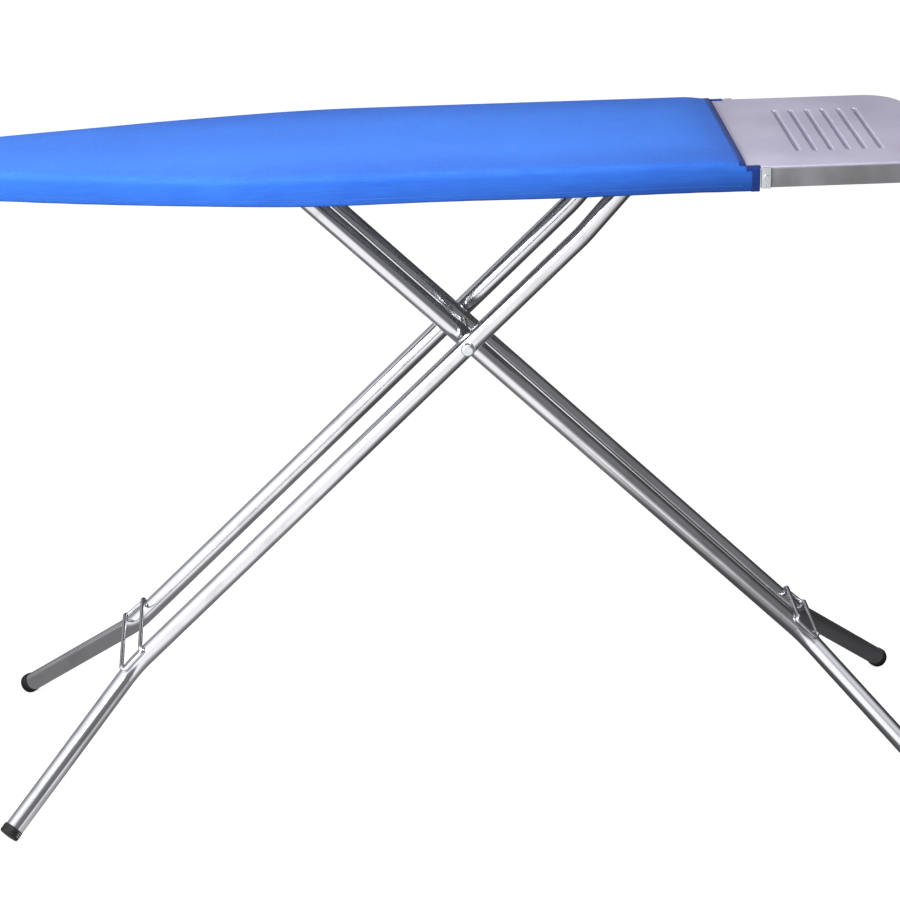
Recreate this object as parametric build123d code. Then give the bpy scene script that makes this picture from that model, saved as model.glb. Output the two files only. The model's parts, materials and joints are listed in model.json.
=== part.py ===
from build123d import *
import math
import os

os.makedirs("parts", exist_ok=True)

# Folding ironing board. X runs along the board, from the round nose (-X) to the square heel (+X),
# Y across it (front is -Y), Z up. Places along X are first measured from the heel end of the
# cover; the last step moves everything so that the origin is the bottom middle of the object.
# All sizes are in millimetres and degrees.

# ---- board and cover
BOARD_LENGTH = 1110.0
BOARD_WIDTH = 300.0
BOARD_HEIGHT = 880.0
NOSE_RADIUS = 63.0
TAPER_ANGLE = 12.1
TAPER_RADIUS = 1200.0
HEEL_CORNER = 3.0
COVER_THICKNESS = 1.0
COVER_FIT = 0.3
SKIRT_HEIGHT = 36.0
HEM_WIDTH = 11.0
HEM_THICKNESS = 1.6
PAD_THICKNESS = 5.0
PAD_HEEL_GAP = 21.0
PANEL_THICKNESS = 0.8
RIM_HEIGHT = 24.8
RIM_THICKNESS = 1.2
RIM_LIP = 7.0
VENT_RADIUS = 5.0
VENT_PITCH = 34.0
VENT_EDGE = 24.0
RIB_WIDTH = 22.0
RIB_HEIGHT = 12.0
RIB_SHEET = 1.2
RIB_NOSE_SHARES = (0.32, 0.78)
RIB_FROM_HEEL = (62.0, 262.0)

# ---- iron rest
TRAY_LENGTH = 238.0
TRAY_OVERHANG = 5.0
TRAY_CORNER = 52.0
TRAY_SHEET = 1.0
TRAY_FLANGE = 26.0
TONGUE_LENGTH = 19.5
TONGUE_INSET = 4.0
GROOVE_COUNT = 6
GROOVE_FIRST = 59.0
GROOVE_PITCH = 21.3
GROOVE_LENGTH = 185.0
GROOVE_WIDTH = 7.0
GROOVE_DEPTH = 2.2
ARM_FROM_EDGE = 46.0
ARM_WIDTH = 14.0
ARM_HEIGHT = 14.0
ARM_SHEET = 1.6
ARM_UNDER_DECK = 110.0
ARM_TRAY_GAP = 28.0
BRACKET_LENGTH = 12.0
BRACKET_SHEET = 2.0

# ---- legs
TUBE_D = 25.4
TUBE_WALL = 1.0
INNER_CLEAR = 53.2
LEG_GAP = 3.9
PIVOT_FROM_HEEL = 153.4
PIVOT_DROP = 54.0
CROSS_TO_TOP = 296.4
OPEN_ANGLE = 44.45
FOLD_TRAVEL = 41.5
OUTER_ANGLE = 44.21
OUTER_CRANK = 5.0
CRANK_BELOW_PIVOT = 61.0
CRANK_RADIUS = 160.0
OUTER_SPLAY_HEIGHT = 174.3
INNER_SPLAY_HEIGHT = 163.3
SPLAY_ANGLE = 32.4
SPLAY_RADIUS = 70.0
FOOT_AXIS_HEIGHT = 11.4
INNER_TOP_OVERRUN = 14.0
CAP_WALL = 0.9
CAP_SLEEVE = 9.0
CAP_END = 3.5
BRACE_WIRE = 6.0
BRACE_BELOW = 7.0
BRACE_ABOVE = 29.5
BRACE_CORNER = 5.0
BRACE_FIT = 0.05

# ---- pivots, rails and height catch
CROSS_TUBE_D = 22.0
OUTER_TOP_OVERRUN = CROSS_TUBE_D / 2 + 2.0
CROSS_TUBE_WALL = 1.5
RUNNING_FIT = 0.1
PLAY = 0.4
SADDLE_Y = 38.0
SADDLE_WIDTH = 20.0
SADDLE_SHEET = 2.5
SADDLE_FOOT = 18.0
BOLT_D = 8.0
BOLT_HEAD_R = 9.0
BOLT_HEAD_H = 5.0
WASHER_R = 9.5
WASHER_T = 1.5
SLEEVE_D = 14.0
ROD_D = 8.0
BUSHING_D = 12.0
BUSHING_FLANGE_D = 19.0
RAIL_Y = 18.5
RAIL_SHEET = 2.0
RAIL_FLANGE = 15.0
RAIL_BELOW_ROD = 11.0
RAIL_NOSE_EXTRA = 70.0
RAIL_HEEL_EXTRA = 28.0
CATCH_SHEET = 3.0
CATCH_HEIGHT = 18.0
CATCH_CLEAR = 0.9
CATCH_PIN_D = 5.0
CATCH_PIN_FROM_STOP = 54.0
CATCH_PIN_DROP = 20.4
CATCH_HUB_D = 11.0
NOTCH_RADIUS = 5.0
NOTCH_COUNT = 5
WIRE_D = 6.0
WIRE_RUN = 236.0
WIRE_BEND = 22.0
GRIP_D = 14.0
GRIP_LENGTH = 62.0
GRIP_FROM_EDGE = 16.0
SPRING_R = 4.6
SPRING_WIRE = 1.0
SPRING_COILS = 6.0
SCREW_HEAD_R = 4.0
SCREW_HEAD_H = 2.2

# ---- derived levels and places
TOP_Z = BOARD_HEIGHT
PAD_TOP_Z = TOP_Z - COVER_THICKNESS
PANEL_TOP_Z = PAD_TOP_Z - PAD_THICKNESS
UNDER_Z = PANEL_TOP_Z - PANEL_THICKNESS
RIM_BOTTOM_Z = UNDER_Z - RIM_HEIGHT
SKIRT_BOTTOM_Z = TOP_Z - SKIRT_HEIGHT
METAL_INSET = COVER_THICKNESS + COVER_FIT
TUBE_R = TUBE_D / 2
INNER_Y = (INNER_CLEAR + TUBE_D) / 2
OUTER_Y = INNER_Y + TUBE_D + LEG_GAP
PIVOT_X = -PIVOT_FROM_HEEL
PIVOT_Z = TOP_Z - PIVOT_DROP
CROSS_DX = CROSS_TO_TOP * math.cos(math.radians(OPEN_ANGLE))
CROSS_X = PIVOT_X - CROSS_DX
CROSS_Z = PIVOT_Z - CROSS_TO_TOP * math.sin(math.radians(OPEN_ANGLE))
ROD_X = PIVOT_X - 2 * CROSS_DX
ROD_STOP_X = PIVOT_X - 2 * CROSS_TO_TOP * math.cos(math.radians(OPEN_ANGLE - FOLD_TRAVEL))
RAIL_NOSE_X = ROD_STOP_X - RAIL_NOSE_EXTRA
CATCH_X = ROD_STOP_X - CATCH_PIN_FROM_STOP
CATCH_Z = UNDER_Z - CATCH_PIN_DROP
ARM_Y = BOARD_WIDTH / 2 - ARM_FROM_EDGE
PIVOT = Vector(PIVOT_X, 0, PIVOT_Z)
CROSSING = Vector(CROSS_X, 0, CROSS_Z)
ROD = Vector(ROD_X, 0, PIVOT_Z)

nodes = {}


def box(x0, x1, y0, y1, z0, z1):
    size = (x1 - x0, y1 - y0, z1 - z0)
    return Pos((x0 + x1) / 2, (y0 + y1) / 2, (z0 + z1) / 2) * Box(*size)


def bar_y(x, z, radius, y0, y1):
    """Round bar along Y between y0 and y1."""
    return Pos(x, (y0 + y1) / 2, z) * Rot(90, 0, 0) * Cylinder(radius, abs(y1 - y0))


def bar_z(x, y, radius, z0, z1):
    """Round bar along Z between z0 and z1."""
    return Pos(x, y, (z0 + z1) / 2) * Cylinder(radius, z1 - z0)


def mirrored(side, shape):
    """The front (-Y) shape as it is, or its mirror image at the back."""
    return shape if side == "front" else shape.mirror(Plane.XZ)


def both_sides(shape):
    return [shape, shape.mirror(Plane.XZ)]


# ---------------------------------------------------------------- board outline
def board_profile(inset):
    """Plan outline of the board, drawn in by inset: square heel, gentle taper, round nose."""
    angle = math.radians(TAPER_ANGLE)
    nose_x = NOSE_RADIUS - BOARD_LENGTH
    arc_drop = TAPER_RADIUS * (1 - math.cos(angle))
    reach = (math.cos(angle) * (BOARD_WIDTH / 2 - arc_drop) - NOSE_RADIUS) / math.sin(angle)
    taper_x = nose_x + TAPER_RADIUS * math.sin(angle) + reach
    half = BOARD_WIDTH / 2 - inset
    big = TAPER_RADIUS - inset
    nose = NOSE_RADIUS - inset
    centre_y = half - big

    def on_big(turn):
        return (taper_x - big * math.sin(turn), centre_y + big * math.cos(turn))

    def on_nose(turn):
        return (nose_x - nose * math.sin(turn), nose * math.cos(turn))

    side = [
        Line((-inset, half), (taper_x, half)),
        ThreePointArc((taper_x, half), on_big(angle / 2), on_big(angle)),
        Line(on_big(angle), on_nose(angle)),
    ]
    tip = ThreePointArc(on_nose(angle), (nose_x - nose, 0), on_nose(math.pi - angle))
    heel = Line((-inset, half), (-inset, -half))
    edges = side + [tip] + [edge.mirror(Plane.XZ) for edge in side] + [heel]
    face = make_face(edges)
    heel_corners = face.vertices().filter_by(lambda v: abs(v.X + inset) < 0.01)
    return fillet(heel_corners, max(HEEL_CORNER - inset, 1.0))


def board_layer(inset, z0, z1):
    return Pos(0, 0, z0) * extrude(board_profile(inset), z1 - z0)


def half_width(x, inset):
    """Half the board's width at x, drawn in by inset."""
    strip = board_profile(inset) & Pos(x, 0) * Rectangle(1.0, 2 * BOARD_WIDTH)
    return strip.bounding_box().max.Y


# ---------------------------------------------------------------- cover, pad and deck
def make_cover():
    top = board_layer(0, PAD_TOP_Z, TOP_Z) & box(
        -BOARD_LENGTH, -PAD_HEEL_GAP, -BOARD_WIDTH, BOARD_WIDTH, 0, 2 * TOP_Z
    )
    skirt = board_layer(0, SKIRT_BOTTOM_Z, TOP_Z) - board_layer(COVER_THICKNESS, 0, 2 * TOP_Z)
    hem = board_layer(0, SKIRT_BOTTOM_Z, SKIRT_BOTTOM_Z + HEM_THICKNESS)
    hem -= board_layer(HEM_WIDTH, 0, 2 * TOP_Z)
    open_y = BOARD_WIDTH / 2 - COVER_THICKNESS
    open_heel = box(-HEM_WIDTH, 1, -open_y, open_y, 0, 2 * TOP_Z)
    drop_y = BOARD_WIDTH / 2 - COVER_THICKNESS / 2
    drop = box(-PAD_HEEL_GAP, COVER_THICKNESS - PAD_HEEL_GAP, -drop_y, drop_y, PANEL_TOP_Z, TOP_Z)
    return top + (skirt + hem - open_heel) + drop


def make_pad():
    x_end = -PAD_HEEL_GAP
    layer = board_layer(METAL_INSET, PANEL_TOP_Z, PAD_TOP_Z)
    return layer & box(-BOARD_LENGTH, x_end, -BOARD_WIDTH, BOARD_WIDTH, 0, 2 * TOP_Z)


def vent_places():
    """Staggered grid of steam vents that keeps clear of the panel's edge."""
    places = []
    row_step = VENT_PITCH * math.sqrt(3) / 2
    columns = int(BOARD_LENGTH / row_step)
    for column in range(1, columns):
        x = -column * row_step - VENT_EDGE / 2
        limit = half_width(x, METAL_INSET) - VENT_EDGE if x > NOSE_RADIUS - BOARD_LENGTH else 0
        shift = VENT_PITCH / 2 if column % 2 else 0
        count = int(BOARD_WIDTH / VENT_PITCH)
        for row in range(-count, count + 1):
            y = row * VENT_PITCH + shift
            if abs(y) < limit:
                places.append((x, y))
    return places


def make_panel():
    vents = [Pos(x, y) * Circle(VENT_RADIUS) for x, y in vent_places()]
    sheet = board_profile(METAL_INSET) - vents
    return Pos(0, 0, UNDER_Z) * extrude(sheet, PANEL_THICKNESS)


def make_rims():
    ring = board_layer(METAL_INSET, RIM_BOTTOM_Z, UNDER_Z)
    ring -= board_layer(METAL_INSET + RIM_THICKNESS, RIM_BOTTOM_Z + RIM_THICKNESS, UNDER_Z)
    ring -= board_layer(METAL_INSET + RIM_LIP, 0, 2 * TOP_Z)
    heel_cut = -HEEL_CORNER - RIM_LIP
    side_box = box(-BOARD_LENGTH, heel_cut, -BOARD_WIDTH, 0, 0, 2 * TOP_Z)
    heel_box = box(heel_cut, 1, -BOARD_WIDTH, BOARD_WIDTH, 0, 2 * TOP_Z)
    front = ring & side_box
    nodes["deck_rim_front"] = front
    nodes["deck_rim_back"] = mirrored("back", front)
    slots = []
    for y in (-ARM_Y, ARM_Y):
        half = ARM_WIDTH / 2 + PLAY
        slots.append(box(heel_cut, 1, y - half, y + half, UNDER_Z - ARM_HEIGHT - PLAY, UNDER_Z))
    nodes["deck_rim_heel"] = (ring & heel_box) - slots


def make_rib(x, reach):
    """Downward hat-section stiffener welded across the underside of the panel."""
    outer = box(x - RIB_WIDTH / 2, x + RIB_WIDTH / 2, -reach, reach, UNDER_Z - RIB_HEIGHT, UNDER_Z)
    inner = box(
        x - RIB_WIDTH / 2 + RIB_SHEET,
        x + RIB_WIDTH / 2 - RIB_SHEET,
        -reach - 1,
        reach + 1,
        UNDER_Z - RIB_HEIGHT + RIB_SHEET,
        UNDER_Z,
    )
    return outer - inner


def make_deck():
    nodes["cover"] = make_cover()
    nodes["foam_pad"] = make_pad()
    nodes["deck_panel"] = make_panel()
    make_rims()
    for number, share in enumerate(RIB_NOSE_SHARES, start=1):
        x = share * (BOARD_LENGTH + RAIL_NOSE_X) - BOARD_LENGTH
        reach = half_width(x - RIB_WIDTH / 2, METAL_INSET + RIM_LIP) - PLAY
        nodes[f"deck_rib_nose_{number}"] = make_rib(x, reach)
    for number, distance in enumerate(RIB_FROM_HEEL, start=1):
        reach = ARM_Y - ARM_WIDTH / 2 - PLAY
        nodes[f"deck_rib_heel_{number}"] = make_rib(-distance, reach)


# ---------------------------------------------------------------- iron rest
def tray_outline(inset):
    half = BOARD_WIDTH / 2 + TRAY_OVERHANG - inset
    length = TRAY_LENGTH - inset
    sheet = Pos(length / 2, 0) * Rectangle(length, 2 * half)
    corners = sheet.vertices().filter_by(lambda v: v.X > 1)
    return fillet(corners, TRAY_CORNER - inset)


def make_tray():
    top_z = PANEL_TOP_Z + TRAY_SHEET
    tongue_half = BOARD_WIDTH / 2 - TONGUE_INSET
    plate = extrude(tray_outline(0), TRAY_SHEET)
    plate += box(-TONGUE_LENGTH, 1, -tongue_half, tongue_half, 0, TRAY_SHEET)
    skirt = extrude(tray_outline(0), -TRAY_FLANGE) - extrude(tray_outline(TRAY_SHEET), -TRAY_FLANGE)
    plate += skirt
    for number in range(GROOVE_COUNT):
        place = Pos(GROOVE_FIRST + number * GROOVE_PITCH, 0, 0) * Rot(0, 0, 90)
        ridge = SlotOverall(GROOVE_LENGTH + 2 * TRAY_SHEET, GROOVE_WIDTH + 2 * TRAY_SHEET)
        groove = SlotOverall(GROOVE_LENGTH, GROOVE_WIDTH)
        plate += place * extrude(ridge, -GROOVE_DEPTH)
        floor_z = TRAY_SHEET - GROOVE_DEPTH
        plate -= place * Pos(0, 0, floor_z) * extrude(groove, GROOVE_DEPTH + 1)
    return Pos(0, 0, top_z - TRAY_SHEET) * plate


def make_tray_arm():
    """Angle bar under the front edge of deck and tray, joggled up by the panel's thickness."""
    y0 = -ARM_Y - ARM_WIDTH / 2
    y1 = -ARM_Y + ARM_WIDTH / 2
    end_x = TRAY_LENGTH - ARM_TRAY_GAP
    joggle_x = PLAY
    low = UNDER_Z - ARM_HEIGHT
    arm = box(-ARM_UNDER_DECK, end_x, y0, y0 + ARM_SHEET, low, UNDER_Z)
    arm += box(-ARM_UNDER_DECK, joggle_x, y0, y1, UNDER_Z - ARM_SHEET, UNDER_Z)
    arm += box(joggle_x, end_x, y0, y1, UNDER_Z - ARM_SHEET, PANEL_TOP_Z)
    return arm


def make_tray_bracket():
    """Pale corner plate outside the tray's front flange, where the skirt of the cover ends."""
    tray_y = BOARD_WIDTH / 2 + TRAY_OVERHANG
    top = PANEL_TOP_Z + TRAY_SHEET
    low = PANEL_TOP_Z - TRAY_FLANGE
    start = PLAY
    return box(start, BRACKET_LENGTH, -tray_y - BRACKET_SHEET, -tray_y, low - 1, top)


def make_iron_rest():
    nodes["iron_rest_tray"] = make_tray()
    screws = []
    for side in ("front", "back"):
        nodes[f"iron_rest_arm_{side}"] = mirrored(side, make_tray_arm())
        nodes[f"iron_rest_bracket_{side}"] = mirrored(side, make_tray_bracket())
    screw_y = BOARD_WIDTH / 2 + TRAY_OVERHANG + BRACKET_SHEET
    middle = (PLAY + BRACKET_LENGTH) / 2
    screw_z = PANEL_TOP_Z - TRAY_FLANGE / 2
    head = bar_y(middle, screw_z, SCREW_HEAD_R, -screw_y - SCREW_HEAD_H, -screw_y)
    nodes["iron_rest_bracket_screws"] = Compound(both_sides(head))
    z_flange = UNDER_Z - ARM_SHEET
    for x in (-ARM_UNDER_DECK + 12, -ARM_UNDER_DECK / 2, -16):
        screws += both_sides(screw_up(x, -ARM_Y + 1.5, z_flange))
    nodes["iron_rest_arm_screws"] = Compound(screws)


def screw_up(x, y, z):
    """Pan-head screw seen from below; its head bears on a face at height z."""
    head = bar_z(x, y, SCREW_HEAD_R, z - SCREW_HEAD_H, z)
    rim = head.edges().filter_by(GeomType.CIRCLE).sort_by(Axis.Z)[0]
    return fillet(rim, SCREW_HEAD_H * 0.6)


# ---------------------------------------------------------------- legs
def swept_tube(points, radii, diameter, wall):
    """Round tube along straight runs and tangent bends; wall 0 makes a solid wire."""
    section = Circle(diameter / 2)
    if wall > 0:
        section -= Circle(diameter / 2 - wall)
    tube = None
    for run in FilletPolyline(*points, radius=radii).edges():
        piece = sweep(Plane(origin=run @ 0, z_dir=run % 0) * section, path=run)
        tube = piece if tube is None else tube + piece
    return tube


def leg_plane(origin, angle, toward):
    """Plane of a leg: x up along the tubes, z square to them on the upper side.

    toward is +1 for a leg that leans up toward the heel and -1 toward the nose.
    """
    lean = math.radians(angle)
    up = Vector(toward * math.cos(lean), 0, math.sin(lean))
    normal = Vector(-toward * math.sin(lean), 0, math.cos(lean))
    return Plane(origin=origin, x_dir=up, z_dir=normal)


def leg_points(angle, toward, splay_height, side_y):
    """Bend and foot end of the front tube of a leg, and the leg's plane at the bend."""
    lean = math.radians(angle)
    splay = math.radians(SPLAY_ANGLE)
    drop = CROSS_Z - splay_height
    bend = Vector(CROSS_X - toward * drop / math.tan(lean), -side_y, splay_height)
    foot = (splay_height - FOOT_AXIS_HEIGHT) / (math.cos(splay) * math.sin(lean))
    run = Vector(-toward * math.cos(lean), 0, -math.sin(lean)) * (foot * math.cos(splay))
    end = bend + run + Vector(0, -foot * math.sin(splay), 0)
    plane = leg_plane(Vector(bend.X, 0, bend.Z), angle, toward)
    return bend, end, plane


def make_foot_cap(bend, end):
    """Rubber cap pushed over the tube end, with a flat where it stands on the floor."""
    axis = (end - bend).normalized()
    plane = Plane(origin=end, z_dir=axis)
    body = plane * Pos(0, 0, (CAP_END - CAP_SLEEVE) / 2) * Cylinder(
        TUBE_R + CAP_WALL, CAP_END + CAP_SLEEVE
    )
    body = fillet(body.edges().filter_by(GeomType.CIRCLE), 1.0)
    body -= plane * Pos(0, 0, -CAP_SLEEVE / 2) * Cylinder(TUBE_R, CAP_SLEEVE)
    return body & Pos(end.X, end.Y, TUBE_D) * Box(4 * TUBE_D, 4 * TUBE_D, 2 * TUBE_D)


def splay_offset(s):
    """How far the tube's axis has swung outward at distance s above the splay corner."""
    splay = math.radians(SPLAY_ANGLE)
    run = SPLAY_RADIUS * math.tan(splay / 2) - s
    return SPLAY_RADIUS * (1 - math.sqrt(1 - (max(run, 0) / SPLAY_RADIUS) ** 2))


def make_foot_brace(plane, side_y):
    """Wire loop welded over both tubes at the splay, its long sides on their outer flanks."""
    hug = TUBE_R + BRACE_WIRE / 2 + BRACE_FIT
    loop = []
    for s, order in ((-BRACE_BELOW, 1), (BRACE_ABOVE, -1)):
        swing = splay_offset(s)
        over_y = side_y + swing + hug * math.tan(math.radians(22.5))
        flank_y = side_y + 1.2 * swing + hug * math.sin(math.radians(45))
        flank = hug * math.sin(math.radians(45))
        row = [(-flank_y, flank), (-over_y, hug), (over_y, hug), (flank_y, flank)]
        loop += [plane.from_local_coords(Vector(s, y, rise)) for y, rise in row[::order]]
    path = FilletPolyline(*loop, radius=BRACE_CORNER, close=True)
    start = Plane(origin=path @ 0, z_dir=path % 0)
    return sweep(start * Circle(BRACE_WIRE / 2), path=path)


def make_outer_leg():
    side_y = OUTER_Y
    bend, end, plane = leg_points(OUTER_ANGLE, 1, OUTER_SPLAY_HEIGHT, side_y)
    crank_z = PIVOT_Z - CRANK_BELOW_PIVOT
    crank_x = CROSS_X + (crank_z - CROSS_Z) / math.tan(math.radians(OUTER_ANGLE))
    crank = Vector(crank_x, -side_y, crank_z)
    lean = math.radians(OUTER_ANGLE + OUTER_CRANK)
    upward = Vector(math.cos(lean), 0, math.sin(lean))
    rise = (Vector(PIVOT_X, -side_y, PIVOT_Z) - crank).dot(upward)
    top = crank + upward * (rise + OUTER_TOP_OVERRUN)
    tube = swept_tube([top, crank, bend, end], [CRANK_RADIUS, SPLAY_RADIUS], TUBE_D, TUBE_WALL)
    tube -= bar_y(PIVOT_X, PIVOT_Z, CROSS_TUBE_D / 2, -side_y, 0)
    tube -= bar_y(CROSS_X, CROSS_Z, BOLT_D / 2 + RUNNING_FIT, -2 * side_y, 0)
    cap = make_foot_cap(bend, end)
    for side in ("front", "back"):
        nodes[f"outer_leg_tube_{side}"] = mirrored(side, tube)
        nodes[f"outer_foot_cap_{side}"] = mirrored(side, cap)
    nodes["outer_foot_brace"] = make_foot_brace(plane, side_y)
    cross = bar_y(PIVOT_X, PIVOT_Z, CROSS_TUBE_D / 2, -side_y, side_y)
    cross -= bar_y(PIVOT_X, PIVOT_Z, CROSS_TUBE_D / 2 - CROSS_TUBE_WALL, -side_y, side_y)
    nodes["outer_cross_tube"] = cross
    nodes["outer_leg_plugs"] = make_end_plugs(top, upward, 1.5)


def make_end_plugs(top, upward, depth):
    """Plastic plugs in the top ends of a leg's two tubes."""
    place = Plane(origin=top, z_dir=upward)
    plug = place * Pos(0, 0, 1) * Cylinder(TUBE_R, 2)
    plug += place * Pos(0, 0, -depth / 2) * Cylinder(TUBE_R - TUBE_WALL, depth)
    plug = fillet(plug.edges().filter_by(GeomType.CIRCLE).sort_by(Axis.Z)[-1], 1.0)
    return Compound(both_sides(plug))


def make_inner_leg():
    side_y = INNER_Y
    bend, end, plane = leg_points(OPEN_ANGLE, -1, INNER_SPLAY_HEIGHT, side_y)
    lean = math.radians(OPEN_ANGLE)
    upward = Vector(-math.cos(lean), 0, math.sin(lean))
    top = Vector(ROD_X, -side_y, PIVOT_Z) + upward * INNER_TOP_OVERRUN
    tube = swept_tube([top, bend, end], [SPLAY_RADIUS], TUBE_D, TUBE_WALL)
    tube -= bar_y(ROD_X, PIVOT_Z, ROD_D / 2, -2 * side_y, 0)
    tube -= bar_y(CROSS_X, CROSS_Z, BOLT_D / 2 + RUNNING_FIT, -2 * side_y, 0)
    cap = make_foot_cap(bend, end)
    for side in ("front", "back"):
        nodes[f"inner_leg_tube_{side}"] = mirrored(side, tube)
        nodes[f"inner_foot_cap_{side}"] = mirrored(side, cap)
    solid = swept_tube([top, bend, end], [SPLAY_RADIUS], TUBE_D, 0)
    solids = both_sides(solid)
    nodes["inner_foot_brace"] = make_foot_brace(plane, side_y)
    nodes["inner_leg_plugs"] = make_end_plugs(top, upward, 4)
    reach = side_y + TUBE_R
    rod = bar_y(ROD_X, PIVOT_Z, ROD_D / 2, -reach - 1, reach + 1)
    nodes["inner_top_rod"] = rod
    bushing_end = side_y - TUBE_R - PLAY
    flange_y = RAIL_Y + RAIL_SHEET / 2 + PLAY
    bushing = bar_y(ROD_X, PIVOT_Z, BUSHING_D / 2, -bushing_end, -RAIL_Y + 6)
    bushing += bar_y(ROD_X, PIVOT_Z, BUSHING_FLANGE_D / 2, -bushing_end, -flange_y)
    bushing -= bar_y(ROD_X, PIVOT_Z, ROD_D / 2, -bushing_end, 0)
    nodes["rod_bushings"] = Compound(both_sides(bushing))
    sleeve_end = side_y - TUBE_R + 2
    sleeve = bar_y(CROSS_X, CROSS_Z, SLEEVE_D / 2, -sleeve_end, sleeve_end)
    sleeve -= bar_y(CROSS_X, CROSS_Z, BOLT_D / 2 + RUNNING_FIT, -sleeve_end, sleeve_end)
    nodes["crossing_sleeve"] = sleeve - solids


def make_crossing_bolt():
    tube_face = OUTER_Y + TUBE_R
    washer_face = tube_face + WASHER_T / 2
    tube_front = bar_along_outer_leg()
    hole = bar_y(CROSS_X, CROSS_Z, BOLT_D / 2, -2 * tube_face, 2 * tube_face)
    washer = bar_y(CROSS_X, CROSS_Z, WASHER_R, -washer_face, -tube_face + WASHER_T)
    washer = washer - tube_front - hole
    nodes["crossing_washers"] = Compound(both_sides(washer))
    inner_face = INNER_Y + TUBE_R + 2 * PLAY
    spacer = bar_y(CROSS_X, CROSS_Z, WASHER_R, -tube_face + TUBE_D + WASHER_T, -inner_face)
    spacer = spacer - tube_front - hole
    nodes["crossing_spacers"] = Compound(both_sides(spacer))
    shank = bar_y(CROSS_X, CROSS_Z, BOLT_D / 2, -washer_face, washer_face + BOLT_HEAD_H + 1)
    head = bar_y(CROSS_X, CROSS_Z, BOLT_HEAD_R, -washer_face - BOLT_HEAD_H, -washer_face)
    head_edge = head.edges().filter_by(GeomType.CIRCLE).sort_by(Axis.Y)[0]
    nodes["crossing_bolt"] = shank + fillet(head_edge, BOLT_HEAD_H * 0.8)
    nut_place = Plane(origin=(CROSS_X, washer_face, CROSS_Z), z_dir=(0, 1, 0))
    nut = nut_place * extrude(RegularPolygon(BOLT_HEAD_R * 0.8, 6), BOLT_HEAD_H)
    nodes["crossing_nut"] = nut - hole


def bar_along_outer_leg():
    """The front outer tube as a solid bar near the crossing."""
    plane = leg_plane(Vector(CROSS_X, -OUTER_Y, CROSS_Z), OUTER_ANGLE, 1)
    return plane * Rot(0, 90, 0) * Cylinder(TUBE_R, 4 * TUBE_D)


# ---------------------------------------------------------------- pivot saddles and slotted rails
def make_saddle():
    """Strap bent round the cross tube, with a foot each side against the panel."""
    bore = CROSS_TUBE_D / 2 + RUNNING_FIT
    outer = bore + SADDLE_SHEET
    rise = UNDER_Z - PIVOT_Z
    strap = Circle(outer) + Pos(0, rise / 2) * Rectangle(2 * outer, rise)
    strap += Pos(0, rise - SADDLE_SHEET / 2) * Rectangle(2 * (outer + SADDLE_FOOT), SADDLE_SHEET)
    strap -= Circle(bore) + Pos(0, rise / 2 + 1) * Rectangle(2 * bore, rise + 2)
    place = Plane(origin=(PIVOT_X, -SADDLE_Y, PIVOT_Z), x_dir=(1, 0, 0), z_dir=(0, -1, 0))
    return place * extrude(strap, SADDLE_WIDTH / 2, both=True)


def make_pivot_saddles():
    screws = []
    outer = CROSS_TUBE_D / 2 + RUNNING_FIT + SADDLE_SHEET
    for side in ("front", "back"):
        nodes[f"pivot_saddle_{side}"] = mirrored(side, make_saddle())
    for x in (PIVOT_X - outer - SADDLE_FOOT / 2, PIVOT_X + outer + SADDLE_FOOT / 2):
        screws += both_sides(screw_up(x, -SADDLE_Y, UNDER_Z - SADDLE_SHEET))
    nodes["saddle_screws"] = Compound(screws)


def make_rail():
    """Angle rail under the panel; its long slot guides the bushing of the inner leg's rod."""
    x0 = RAIL_NOSE_X
    x1 = ROD_X + RAIL_HEEL_EXTRA
    low = PIVOT_Z - RAIL_BELOW_ROD
    y_in = -RAIL_Y + RAIL_SHEET / 2
    y_out = -RAIL_Y - RAIL_SHEET / 2
    rail = box(x0, x1, y_out, y_in, low, UNDER_Z)
    rail += box(x0, x1, y_out - RAIL_FLANGE, y_in, UNDER_Z - RAIL_SHEET, UNDER_Z)
    slot_r = BUSHING_D / 2 + PLAY
    first = ROD_STOP_X - 3
    last = ROD_X + 1.5
    rail -= bar_y(first, PIVOT_Z, slot_r, y_out - 1, y_in + 1)
    rail -= bar_y(last, PIVOT_Z, slot_r, y_out - 1, y_in + 1)
    rail -= box(first, last, y_out - 1, y_in + 1, PIVOT_Z - slot_r, PIVOT_Z + slot_r)
    rail -= bar_y(CATCH_X, CATCH_Z, CATCH_PIN_D / 2, y_out - 1, y_in + 1)
    return rail


def make_rails():
    screws = []
    for side in ("front", "back"):
        nodes[f"slide_rail_{side}"] = mirrored(side, make_rail())
    screw_y = RAIL_Y + (RAIL_SHEET + RAIL_FLANGE) / 2
    for x in (ROD_STOP_X - 52, (ROD_STOP_X + ROD_X) / 2, ROD_X + 12):
        screws += both_sides(screw_up(x, -screw_y, UNDER_Z - RAIL_SHEET))
    nodes["rail_screws"] = Compound(screws)
    reach = RAIL_Y + RAIL_SHEET / 2
    pin = bar_y(CATCH_X, CATCH_Z, CATCH_PIN_D / 2, -reach - 2, reach + 2)
    nodes["catch_pin"] = pin


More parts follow.
